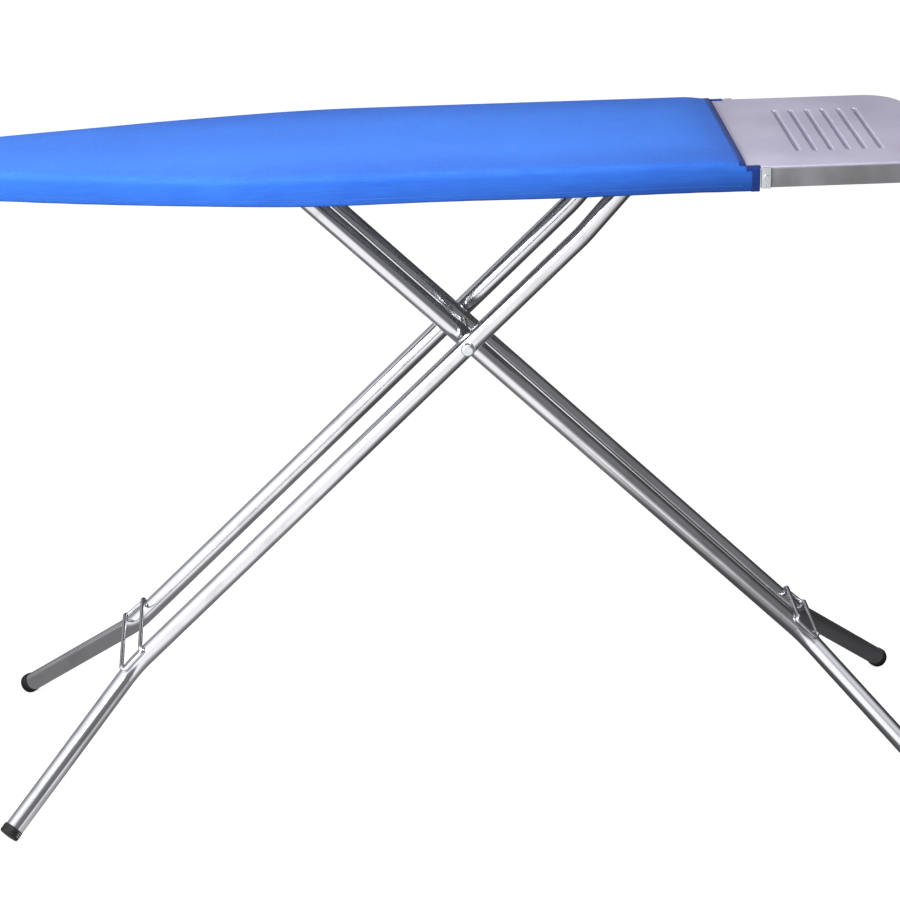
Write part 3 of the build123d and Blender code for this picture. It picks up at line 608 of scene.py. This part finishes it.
def cover_point(section, column):
    """Place of the cover's outer face, and its place on the flat cut."""
    spine, edge_x, edge_y, out_x, out_y, run = section
    share, inset, drop = PROFILE[column]
    length = math.hypot(edge_x - spine, edge_y)
    from_edge = inset + share * (length - EDGE_ROUND)
    near_nose = min(1.0, max(0.0, (NOSE_X + 0.12 - edge_x) / 0.12))
    down = max(0.0, min(1.0, drop / (TOP_Z - SKIRT_BOTTOM)))
    push = gather(run, near_nose) * down ** 1.6 if column > ROUND_STARTS else 0.0
    bulge = 0.0008 * math.sin(math.pi * min(1.0, down)) if column > ROUND_STARTS else 0.0
    out = push + bulge + slack(edge_x, from_edge) - from_edge
    x = edge_x + out_x * out
    y = edge_y + out_y * out
    crown = 0.0007 * (1 - ((length - from_edge) / max(length, 1e-6)) ** 2)
    sway = noise.noise(Vector((x * 7.0, y * 9.0, 3.1))) + 0.5 * noise.noise(Vector((x * 21.0, y * 24.0, 7.7)))
    rise = fullness(x, from_edge) * (1 - down) - HEM_DROP * down
    z = TOP_Z - drop + rise - 0.0004 + crown + 0.00045 * sway * min(1.0, from_edge / 0.03)
    if column > ROUND_STARTS + ROUND_STEPS:
        z += 0.0005 * math.sin(2 * math.pi * run / 0.31 + 1.0) * down
    return Vector((x, y, z))


def cloth_run(column):
    """Length of cloth from the start of the rounded edge down to a column."""
    return sum(math.hypot(PROFILE[k][1] - PROFILE[k - 1][1], PROFILE[k][2] - PROFILE[k - 1][2])
               for k in range(ROUND_STARTS + 1, column + 1))


def flat_point(section, column):
    spine, edge_x, edge_y, out_x, out_y, _ = section
    share = PROFILE[column][0]
    length = math.hypot(edge_x - spine, edge_y)
    out = (1 - share) * (length - EDGE_ROUND) + (cloth_run(column) if column > ROUND_STARTS else 0.0)
    return spine + out_x * out, out_y * out


def mesh_piece(name, points, faces, flats):
    """A piece from points and faces, with the flat cut as its UV map, doubles merged."""
    data = bpy.data.meshes.new(name)
    data.from_pydata([tuple(p) for p in points], [], faces)
    layer = data.uv_layers.new(name="flat_cut")
    for loop in data.loops:
        layer.data[loop.index].uv = flats[loop.vertex_index]
    piece = add_piece(name, data)
    edit_all(piece)
    ops.mesh.remove_doubles(threshold=1e-6)
    ops.object.mode_set(mode="OBJECT")
    return piece


def make_cover():
    """The cloth: top over the pad, rounded edge, skirt, and a hem turned in under the rim."""
    sections = whole_outline(0.0065, PAD_END_X)
    columns = len(PROFILE)
    points, flats, faces = [], [], []
    for section in sections:
        for column in range(columns):
            points.append(cover_point(section, column))
            flats.append(flat_point(section, column))
    for i in range(len(sections) - 1):
        for j in range(columns - 1):
            a = i * columns + j
            faces.append((a, a + 1, a + 1 + columns, a + columns))
    # the heel end: the top folds down over the pad's end, the skirt runs on to the deck's corner
    drops = [(0.0012, 0.0004), (0.0020, 0.0012), (0.0024, 0.0024), (0.0024, 0.0040), (0.0022, 0.0053)]
    runs = [(0.0036, 0.0), (0.0080, 0.0), (0.0125, 0.0), (0.0170, 0.0), (0.0205, 0.0)]
    for end in (0, len(sections) - 1):
        base = end * columns
        for top in (True, False):
            chosen = range(0, ROUND_MIDDLE + 1) if top else range(ROUND_MIDDLE, columns)
            before = [base + j for j in chosen]
            for out, low in drops if top else runs:
                row = []
                for j in chosen:
                    p, flat = points[base + j], flats[base + j]
                    row.append(len(points))
                    points.append(Vector((p.x + out, p.y, max(p.z - low, PANEL_TOP + 0.0012) if top else p.z)))
                    flats.append((flat[0] + out + low, flat[1]))
                for k in range(len(row) - 1):
                    quad = (before[k], row[k], row[k + 1], before[k + 1])
                    faces.append(quad if end == 0 else quad[::-1])
                before = row
    piece = mesh_piece("board_cover", points, faces, flats)
    face_outwards(piece)
    up = sum(f.normal.z * f.area for f in piece.data.polygons if f.center.z > TOP_Z - 0.0015)
    if up < 0:
        piece.data.flip_normals()
    layer = piece.data.uv_layers[0].data
    area = 0.0
    for face in piece.data.polygons:
        corners = [layer[k].uv for k in face.loop_indices]
        area += 0.5 * abs(sum(corners[k - 1].x * corners[k].y - corners[k].x * corners[k - 1].y
                              for k in range(len(corners))))
    across = 2 * max(abs(f[1]) for f in flats)
    along = max(f[0] for f in flats) - min(f[0] for f in flats)
    modify(piece, "SOLIDIFY", thickness=CLOTH, offset=-1.0)
    smooth(piece, 60.0, weighted=False)
    return piece, sections, (across, along), area


def make_pad():
    """The felt pad: a slab cut to the board, swollen by a short cloth simulation."""
    sections = whole_outline(0.010, PAD_END_X - 0.0006)
    inset, under, top, columns = 0.0024, PANEL_TOP + 0.0001, PAD_TOP - 0.0009, 16
    points, faces, flats = [], [], []
    for spine, edge_x, edge_y, out_x, out_y, _ in sections:
        length = math.hypot(edge_x - spine, edge_y) - inset - 0.0018
        ring = [(length * (k / columns) ** 0.7, top) for k in range(columns + 1)]
        ring += [(length + 0.0013, top - 0.0005), (length + 0.0018, (top + under) / 2),
                 (length + 0.0012, under + 0.0004)]
        ring += [(length * (columns - k) / columns, under) for k in range(1, columns + 1)]
        side = len(ring)
        for out, z in ring:
            x = spine + out_x * out
            share = (z - under) / (top - under)
            points.append((x, out_y * out, z + share * fullness(x, length + 0.0042 - out)))
            flats.append((x, out_y * out))
    for i in range(len(sections) - 1):
        for j in range(side - 1):
            a = i * side + j
            faces.append((a, a + 1, a + 1 + side, a + side))
    half = side // 2
    for end in (0, len(sections) - 1):
        base = end * side
        for j in range(half):
            quad = (base + j, base + side - 1 - j, base + side - 2 - j, base + j + 1)
            faces.append(quad if end == 0 else quad[::-1])
    piece = mesh_piece("board_pad", points, faces, flats)
    face_outwards(piece)
    swell(piece, 0.0007, lambda p: p.z < under + 0.0003)
    smooth(piece, 70.0, weighted=False)
    return piece


def swell(piece, most, held):
    """Inflates a pad a little by cloth simulation; held points stay, others move at most this far."""
    rest = [v.co.copy() for v in piece.data.vertices]
    pins = piece.vertex_groups.new(name="held")
    pins.add([v.index for v in piece.data.vertices if held(v.co)], 1.0, "REPLACE")
    cloth = piece.modifiers.new("swelling", "CLOTH")
    cloth.settings.quality = 4
    cloth.settings.mass = 0.3
    cloth.settings.tension_stiffness = 15
    cloth.settings.compression_stiffness = 15
    cloth.settings.bending_stiffness = 4
    cloth.settings.use_pressure = True
    cloth.settings.uniform_pressure_force = 3.0
    cloth.settings.vertex_group_mass = "held"
    cloth.settings.effector_weights.gravity = 0
    cloth.point_cache.frame_start, cloth.point_cache.frame_end = 1, 12
    for number in range(1, 13):
        scene.frame_set(number)
    take(piece)
    ops.object.modifier_apply(modifier="swelling")
    scene.frame_set(1)
    for vertex, start in zip(piece.data.vertices, rest):
        move = vertex.co - start
        if move.length > most:
            move *= most / move.length
        vertex.co = start + move
    piece.vertex_groups.clear()


STITCH_RADIUS = 0.00032
STITCH_LENGTH = 0.0030
STITCH_PITCH = 0.0042
STITCH_DROP = 0.0262
STITCH_INSET = 0.0048


def make_stitches(sections):
    """Two lines of small stitches: round the skirt above its hem, and across the heel end."""
    ops.mesh.primitive_cylinder_add(vertices=6, radius=STITCH_RADIUS, depth=STITCH_LENGTH,
                                    rotation=(0, math.pi / 2, 0))
    stitch = named("one_stitch")
    pick(stitch, "FACE", lambda f: abs(f.normal.x) > 0.9)
    ops.mesh.inset(thickness=0.00014)
    ops.object.mode_set(mode="OBJECT")
    for vertex in stitch.data.vertices:
        vertex.co.z -= 0.00022 * (vertex.co.x / (STITCH_LENGTH / 2)) ** 2
    shape = [v.co.copy() for v in stitch.data.vertices]
    shape_faces = [tuple(f.vertices) for f in stitch.data.polygons]
    bpy.data.objects.remove(stitch)
    places = []
    column = next(k for k, p in enumerate(PROFILE) if p[2] > STITCH_DROP)
    edge = [(cover_point(s, column), Vector((s[3], s[4], 0))) for s in sections]
    walk(edge, STITCH_PITCH, places)
    across = []
    ends = ((sections[0], range(ROUND_STARTS, -1, -1)), (sections[-1], range(1, ROUND_STARTS + 1)))
    for section, order in ends:
        for column in order:
            spot = cover_point(section, column) + Vector((-STITCH_INSET, 0, 0.0008))
            across.append((spot, Vector((0, 0, 1))))
    walk(across, STITCH_PITCH, places)
    points, faces = [], []
    for spot, along, out in places:
        beside = along.cross(out)
        turn = Matrix((along, beside, out)).transposed()
        base = len(points)
        points += [spot + turn @ p for p in shape]
        faces += [tuple(base + k for k in f) for f in shape_faces]
    data = bpy.data.meshes.new("cover_stitching")
    data.from_pydata([tuple(p) for p in points], [], faces)
    piece = add_piece("cover_stitching", data)
    face_outwards(piece)
    smooth(piece, 50.0, weighted=False)
    return piece


def walk(line, pitch, places):
    """Adds (place, direction along, direction out) every pitch along a line of (place, out)."""
    travelled, wanted = 0.0, pitch / 2
    for (p, out_p), (q, out_q) in zip(line, line[1:]):
        length = (q - p).length
        while wanted <= travelled + length:
            share = (wanted - travelled) / length
            along = (q - p).normalized()
            out = out_p.lerp(out_q, share)
            out = (out - along * out.dot(along)).normalized()
            places.append((p.lerp(q, share) + out * 0.0001, along, out))
            wanted += pitch
        travelled += length


TAPE = 0.0005
TAPE_GAP = 0.0003


def make_binding(sections):
    """Navy tape folded over the cover's heel edge: across the top, and up each skirt's end."""
    low_column = len(PROFILE) - 4
    points, flats, faces = [], [], []

    def strip(section, columns, steps):
        """Rows of tape over the cover's columns; each step is (along X, down, turned towards the heel)."""
        side = 1 if section[2] > 0 else -1
        first = len(points)
        for run, low, turned in steps:
            for column in columns:
                round_turn = min(1.0, max(0.0, (column - ROUND_STARTS) / ROUND_STEPS)) * math.pi / 2
                up = math.cos(round_turn) * (1 - turned)
                out = Vector((turned, side * math.sin(round_turn), up)).normalized()
                spot = cover_point(section, column) + Vector((run, 0, -low)) + out * TAPE_GAP
                points.append(spot)
                flats.append((run + low, spot.y - spot.z))
        width = len(columns)
        for i in range(len(steps) - 1):
            for j in range(width - 1):
                a = first + i * width + j
                quad = (a, a + width, a + width + 1, a + 1)
                faces.append(quad if side > 0 else quad[::-1])

    over = [(-0.0062, 0.0, 0.0), (-0.0034, 0.0, 0.0), (0.0, 0.0, 0.0), (0.0012, 0.0004, 0.3),
            (0.0020, 0.0012, 0.7), (0.0024, 0.0024, 1.0), (0.0025, 0.0040, 1.0), (0.0024, 0.0048, 1.0)]
    lip = [(0.0026 + 0.0012 * k, 0.0, 0.0) for k in range(7)]
    down = [(0.0100 + 0.0021 * k, 0.0, 0.0) for k in range(6)]
    for section in (sections[0], sections[-1]):
        strip(section, list(range(0, ROUND_MIDDLE + 1)), over)
        strip(section, list(range(ROUND_MIDDLE, ROUND_MIDDLE + 4)), lip)
        strip(section, list(range(ROUND_MIDDLE, low_column)), down)
    piece = mesh_piece("cover_binding", points, faces, flats)
    modify(piece, "SOLIDIFY", thickness=TAPE, offset=1.0)
    round_edges(piece, 0.00015, 50)
    smooth(piece, 50.0, weighted=False)
    return piece


cover, cover_sections, cover_cut, cover_area = make_cover()
pad = make_pad()
stitching = make_stitches(cover_sections)
binding = make_binding(cover_sections)
set_up(cover, "deck", "cover_cloth", "cover")
set_up(pad, "deck", "pad_felt", "foam_pad")
set_up(stitching, "deck", "cover_cloth", finish="thread")
set_up(binding, "deck", "cover_cloth", finish="binding")


# ---- iron rest
TRAY_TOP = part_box("iron_rest_tray")[1][2]
TRAY_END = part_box("iron_rest_tray")[1][0]
TRAY_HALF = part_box("iron_rest_tray")[1][1]
TRAY_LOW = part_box("iron_rest_tray")[0][2]
TRAY_CORNER = 0.052
TRAY_SHEET = 0.001
GROOVE_FIRST = 0.059
GROOVE_PITCH = 0.0213
GROOVE_COUNT = 6
GROOVE_LENGTH = 0.185
GROOVE_WIDTH = 0.007
GROOVE_DEPTH = 0.0022


def groove_tools():
    """Six rounded bars, to be pressed into the tray's top."""
    radius = ((GROOVE_WIDTH / 2) ** 2 + GROOVE_DEPTH ** 2) / (2 * GROOVE_DEPTH)
    bars = []
    for number in range(GROOVE_COUNT):
        x = HEEL_X + GROOVE_FIRST + number * GROOVE_PITCH
        put_down()
        ops.mesh.primitive_cylinder_add(
            vertices=32, radius=radius, depth=GROOVE_LENGTH,
            location=(x, 0, TRAY_TOP + radius - GROOVE_DEPTH), rotation=(math.pi / 2, 0, 0))
        bar = named(f"groove_tool_{number}")
        pick(bar, "FACE", lambda f: abs(f.normal.y) > 0.9)
        ops.mesh.region_to_loop()
        ops.mesh.bevel(offset=radius * 0.9, segments=5, affect="EDGES")
        ops.object.mode_set(mode="OBJECT")
        bars.append(bar)
    put_down()
    for bar in bars:
        bar.select_set(True)
    bpy.context.view_layer.objects.active = bars[0]
    ops.object.join()
    return bars[0]


def make_tray():
    """Pressed sheet-steel rest: rounded corners, turned-down flange, six pressed grooves."""
    put_down()
    length = TRAY_END - HEEL_X
    ops.mesh.primitive_cube_add(size=1, location=(HEEL_X + length / 2, 0, (TRAY_TOP + TRAY_LOW) / 2),
                                scale=(length, 2 * TRAY_HALF, TRAY_TOP - TRAY_LOW))
    tray = named("iron_tray")
    pick(tray, "EDGE", lambda e: abs(e.verts[0].co.z - e.verts[1].co.z) > 0.01
         and middle(e).x > TRAY_END - 0.001)
    ops.mesh.bevel(offset=TRAY_CORNER, segments=16, affect="EDGES")
    pick(tray, "EDGE", lambda e: min(v.co.z for v in e.verts) > TRAY_TOP - 1e-4 and middle(e).x > HEEL_X + 1e-4
         and (abs(middle(e).y) > TRAY_HALF - 0.053 or middle(e).x > TRAY_END - 0.001)
         and len([f for f in e.link_faces if abs(f.normal.z) < 0.5]) == 1)
    ops.mesh.bevel(offset=0.0042, segments=4, affect="EDGES")
    ops.object.mode_set(mode="OBJECT")
    tools = groove_tools()
    modify(tray, "BOOLEAN", object=tools, operation="DIFFERENCE", solver="EXACT")
    bpy.data.objects.remove(tools)
    first = HEEL_X + GROOVE_FIRST
    last = first + (GROOVE_COUNT - 1) * GROOVE_PITCH
    pick(tray, "EDGE", lambda e: all(abs(v.co.z - TRAY_TOP) < 2e-5 for v in e.verts)
         and any(f.normal.z < 0.98 for f in e.link_faces)
         and abs(middle(e).y) < GROOVE_LENGTH / 2 + 0.002
         and first - 0.01 < middle(e).x < last + 0.01)
    ops.mesh.bevel(offset=0.0009, segments=3, affect="EDGES")
    ops.mesh.select_all(action="SELECT")
    ops.mesh.remove_doubles(threshold=2e-5)
    ops.mesh.dissolve_degenerate(threshold=2e-5)
    pick(tray, "FACE", lambda f: f.normal.z < -0.9 and f.calc_center_median().z < TRAY_LOW + 1e-4
         or f.normal.x < -0.9 and f.calc_center_median().x < HEEL_X + 1e-4)
    ops.mesh.delete(type="FACE")
    pick(tray, "EDGE", lambda e: all(v.co.x < HEEL_X + 1e-5 and v.co.z > TRAY_TOP - 1e-5 for v in e.verts))
    for reach, narrow in ((-0.0006, 0.145 / 0.1508), (-0.0180, 1.0), (-0.0008, 0.99)):
        ops.mesh.extrude_edges_move(TRANSFORM_OT_translate={"value": (reach, 0, 0)})
        ops.transform.resize(value=(1, narrow, 1), center_override=(0, 0, TRAY_TOP))
    modify(tray, "SOLIDIFY", thickness=TRAY_SHEET, offset=-1.0)
    modify(tray, "TRIANGULATE", min_vertices=5)
    smooth(tray, 38.0)
    return tray


def paint_tray(tray):
    """Lacquer on the top only: the flange and the underside get a darker grey finish, partly plain steel and
    partly painted shade on faces that turn sideways and down.
    """
    tray.data.materials.append(FINISH["tray_edge"])
    for face in tray.data.polygons:
        outer = abs(face.center.y) > TRAY_HALF - 0.060 or face.center.x > TRAY_END - 0.004
        face.material_index = 1 if face.normal.z < -0.5 or face.normal.z < 0.35 and outer else 0


tray = make_tray()
set_up(tray, "deck", "tray_enamel", "iron_rest_tray")
paint_tray(tray)


# ---- feet, grip and spring
def make_foot_boot(name, end, axis):
    """Ribbed rubber boot pushed over a tube's end, worn flat where it stands."""
    end, axis = Vector(end), Vector(axis)
    back, front, outer = -0.009, 0.0035, TUBE_R + 0.0009
    turn = axis.to_track_quat("Z", "Y").to_euler()
    put_down()
    ops.mesh.primitive_cylinder_add(vertices=40, radius=outer, depth=front - back,
                                    location=end + axis * (front + back) / 2, rotation=turn)
    boot = named(name)
    pick(boot, "FACE", lambda f: f.normal.dot(axis) > 0.9)
    ops.mesh.region_to_loop()
    ops.mesh.bevel(offset=0.0016, segments=4, affect="EDGES")
    for reach in (-0.0072, -0.0062, -0.0044, -0.0034, -0.0016, -0.0006):
        pick(boot, "FACE", lambda f: True)
        ops.mesh.bisect(plane_co=end + axis * reach, plane_no=axis)
    pick(boot, "FACE", lambda f: abs(f.normal.dot(axis)) < 0.2 and any(
        low < (f.calc_center_median() - end).dot(axis) < high
        for low, high in ((-0.0072, -0.0062), (-0.0044, -0.0034), (-0.0016, -0.0006))))
    ops.mesh.extrude_region_shrink_fatten(TRANSFORM_OT_shrink_fatten={"value": -0.0004})
    pick(boot, "FACE", lambda f: f.normal.dot(axis) < -0.9)
    ops.mesh.inset(thickness=outer - TUBE_R - 0.0001)
    ops.mesh.extrude_region_move(TRANSFORM_OT_translate={"value": axis * 0.0012})
    pick(boot, "FACE", lambda f: True)
    ops.mesh.bisect(plane_co=(0, 0, 0.00002), plane_no=(0, 0, 1), use_fill=True, clear_inner=True)
    smooth(boot, 40.0)
    return boot


FEET = {
    "outer": ((HEEL_X - 0.98900, 0.21686, 0.0114), (-0.6052, 0.53583, -0.58874), "nose"),
    "inner": ((HEEL_X + 0.25381, 0.17695, 0.0114), (0.60273, 0.53583, -0.59127), "heel"),
}
for leg, (end, axis, where) in FEET.items():
    for side, sign in (("back", 1), ("front", -1)):
        boot = make_foot_boot(f"foot_boot_{where}_{side}", (end[0], sign * end[1], end[2]),
                              (axis[0], sign * axis[1], axis[2]))
        set_up(boot, f"{leg}_leg", "cap_rubber", f"{leg}_foot_cap_{side}")


def make_grip():
    """Finger grip on the catch's wire: turned rings and rounded ends."""
    low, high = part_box("catch_grip")
    centre = (Vector(low) + Vector(high)) / 2
    radius, length = (high[2] - low[2]) / 2, high[1] - low[1]
    put_down()
    ops.mesh.primitive_cylinder_add(vertices=36, radius=radius, depth=length, location=centre,
                                    rotation=(math.pi / 2, 0, 0))
    grip = named("catch_handle_grip")
    pick(grip, "FACE", lambda f: abs(f.normal.y) > 0.9)
    ops.mesh.region_to_loop()
    ops.mesh.bevel(offset=0.0024, segments=4, affect="EDGES")
    rings = [low[1] + 0.010 + 0.0062 * k for k in range(7)]
    for start in rings:
        for edge in (start, start + 0.0024):
            pick(grip, "FACE", lambda f: True)
            ops.mesh.bisect(plane_co=(0, edge, 0), plane_no=(0, 1, 0))
    pick(grip, "FACE", lambda f: abs(f.normal.y) < 0.2 and any(
        start < f.calc_center_median().y < start + 0.0024 for start in rings))
    ops.mesh.extrude_region_shrink_fatten(TRANSFORM_OT_shrink_fatten={"value": -0.0009})
    round_edges(grip, 0.0004, 40)
    smooth(grip, 40.0)
    return grip


set_up(make_grip(), "height_catch", "black_plastic", "catch_grip")


def make_return_spring():
    """Coil spring between the toothed bar and the panel."""
    low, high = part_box("catch_spring")
    wire = 0.0005
    radius = (high[0] - low[0]) / 2 - wire
    turns, rise = 6, high[2] - low[2] - 2 * wire
    put_down()
    ops.mesh.primitive_circle_add(vertices=10, radius=wire, location=(radius, 0, 0),
                                  rotation=(math.pi / 2, 0, 0))
    spring = named("catch_return_spring")
    modify(spring, "SCREW", screw_offset=rise / turns, iterations=turns, steps=26, render_steps=26, axis="Z",
           use_merge_vertices=True)
    edit_all(spring)
    ops.mesh.remove_doubles(threshold=1e-7)
    ops.mesh.select_all(action="DESELECT")
    ops.mesh.select_mode(type="EDGE")
    ops.mesh.select_non_manifold()
    ops.mesh.edge_face_add()
    ops.mesh.select_all(action="SELECT")
    ops.mesh.normals_make_consistent(inside=False)
    ops.transform.translate(value=((low[0] + high[0]) / 2, (low[1] + high[1]) / 2, low[2] + wire))
    smooth(spring, 60.0, weighted=False)
    return spring


spring = make_return_spring()
set_up(spring, "deck", "bracket_zinc", "catch_spring")
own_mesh(spring)


# ---- softened sheet-metal parts
def soften(node, width):
    """A copy of a CAD node with small rounds on its edges."""
    piece = add_piece(node + "_finished", cad_nodes[node].data.copy())
    ops.mesh.customdata_custom_splitnormals_clear()
    edit_all(piece)
    ops.mesh.remove_doubles(threshold=2e-6)
    ops.mesh.dissolve_limited(angle_limit=math.radians(0.6))
    round_edges(piece, width, 32)
    modify(piece, "TRIANGULATE", min_vertices=5)
    smooth(piece, 38.0)
    return piece


NODE_BODY = {node: body for body, names in frame["record"]["behaviour"]["bodies"].items() for node in names}
NODE_SLOT = {part["node"]: part["material_slot"] for part in frame["record"]["subparts"]}
SOFTENED = {
    "iron_rest_bracket_front": 0.0007, "iron_rest_bracket_back": 0.0007,
    "iron_rest_arm_front": 0.0005, "iron_rest_arm_back": 0.0005,
    "slide_rail_front": 0.0006, "slide_rail_back": 0.0006,
    "pivot_saddle_front": 0.0007, "pivot_saddle_back": 0.0007,
    "deck_rib_nose_1": 0.0004, "deck_rib_nose_2": 0.0004, "deck_rib_heel_1": 0.0004, "deck_rib_heel_2": 0.0004,
    "catch_bar": 0.0005, "crossing_nut": 0.0005,
}
for node, width in SOFTENED.items():
    set_up(soften(node, width), NODE_BODY[node], NODE_SLOT[node], node)

# ---- CAD nodes that stay
for node, piece in cad_nodes.items():
    piece.data.materials.clear()
    piece.data.materials.append(FINISH[NODE_SLOT[node]])


# ---- floor, light and surroundings
def make_floor():
    """White studio floor; shiny faces see a painted reflection in it, dimmed towards the back and the right by
    painted shade under the board.
    """
    put_down()
    ops.mesh.primitive_plane_add(size=44, location=(0, 0, 0))
    floor = named("studio_floor")
    material, tree, shader, place = start_finish("pale_floor", Roughness=0.9, Specular_IOR_Level=0.0)
    shade = effect(tree, "mottle", place, Scale=0.4, Detail=2.0)["Value"]
    path = lay(tree, "ShaderNodeLightPath").outputs
    grey = blend_colour(tree, shade, (0.42, 0.42, 0.42), (0.45, 0.45, 0.45))
    # Shiny faces see the floor near black, with a painted reflection glowing on it: bright at the front left,
    # painted shade towards the back and the right, deepest under the board's right half.
    feed(shader, "Base Color", blend_colour(tree, path["Is Glossy Ray"], grey, (0.03, 0.03, 0.03)))
    where = lay(tree, "ShaderNodeSeparateXYZ", {0: place}).outputs
    back = spread(tree, where[1], -0.45, -0.08, 1.15, 0.20)
    right = spread(tree, where[0], 0.25, 1.20, 1.0, 0.40)
    near_right = times(tree, spread(tree, where[0], 0.02, 0.22), spread(tree, where[1], -0.90, -0.60))
    right_painted_shade = times(tree, right, sums(tree, "SUBTRACT", 1.0, times(tree, near_right, 0.65)))
    painted_reflection = times(tree, path["Is Glossy Ray"], times(tree, back, right_painted_shade))
    glow = sums(tree, "ADD", times(tree, path["Is Camera Ray"], FLOOR_GLOW), painted_reflection)
    feed(shader, "Emission Strength", glow)
    shader.inputs["Emission Color"].default_value = (1, 1, 1, 1)
    floor.data.materials.append(material)


def softbox(name, place, aim, size, power):
    data = bpy.data.lights.new(name, "AREA")
    data.shape, data.size, data.size_y = "RECTANGLE", size[0], size[1]
    data.energy = power
    lamp = bpy.data.objects.new(name, data)
    scene.collection.objects.link(lamp)
    lamp.location = place
    lamp.visible_camera = False
    lamp.rotation_euler = (Vector(aim) - Vector(place)).to_track_quat("-Z", "Y").to_euler()


def set_world():
    """Even light on matte faces; shiny faces see a studio that is bright at the left and above."""
    world = bpy.data.worlds.new("studio")
    scene.world = world
    world.use_nodes = True
    tree = world.node_tree
    direction = lay(tree, "ShaderNodeTexCoord").outputs["Generated"]
    toward = lay(tree, "ShaderNodeSeparateXYZ", {0: direction}).outputs
    left = spread(tree, toward[0], -0.35, 0.20, 1.3, 0.20)
    front = spread(tree, toward[1], -0.10, 0.60, 1.0, 0.30)
    above = spread(tree, toward[2], 0.55, 0.90, 0.0, 0.9)
    mirrored = sums(tree, "MAXIMUM", times(tree, left, front), above)
    path = lay(tree, "ShaderNodeLightPath").outputs
    lit = lay(tree, "ShaderNodeMix", {0: path["Is Glossy Ray"], 2: AMBIENT, 3: mirrored}).outputs[0]
    strength = lay(tree, "ShaderNodeMix", {0: path["Is Camera Ray"], 2: lit, 3: 1.0}).outputs[0]
    tree.links.new(strength, tree.nodes["Background"].inputs["Strength"])
    tree.nodes["Background"].inputs["Color"].default_value = (0.97, 0.98, 1.0, 1)


AMBIENT = 0.35
FLOOR_GLOW = 0.86
make_floor()
softbox("key", (-2.2, -1.5, 1.9), (-0.3, 0, 0.7), (1.6, 1.6), 27)
softbox("overhead", (0.0, -0.2, 3.6), (0.0, 0, 0.4), (3.0, 2.2), 12)
softbox("front_fill", (-0.22, -0.75, 1.46), (-0.22, 0, 0.88), (0.9, 0.5), 12.5)
set_world()
scene.view_settings.view_transform = "Standard"
scene.view_settings.look = "None"
scene.view_settings.exposure = 0.0
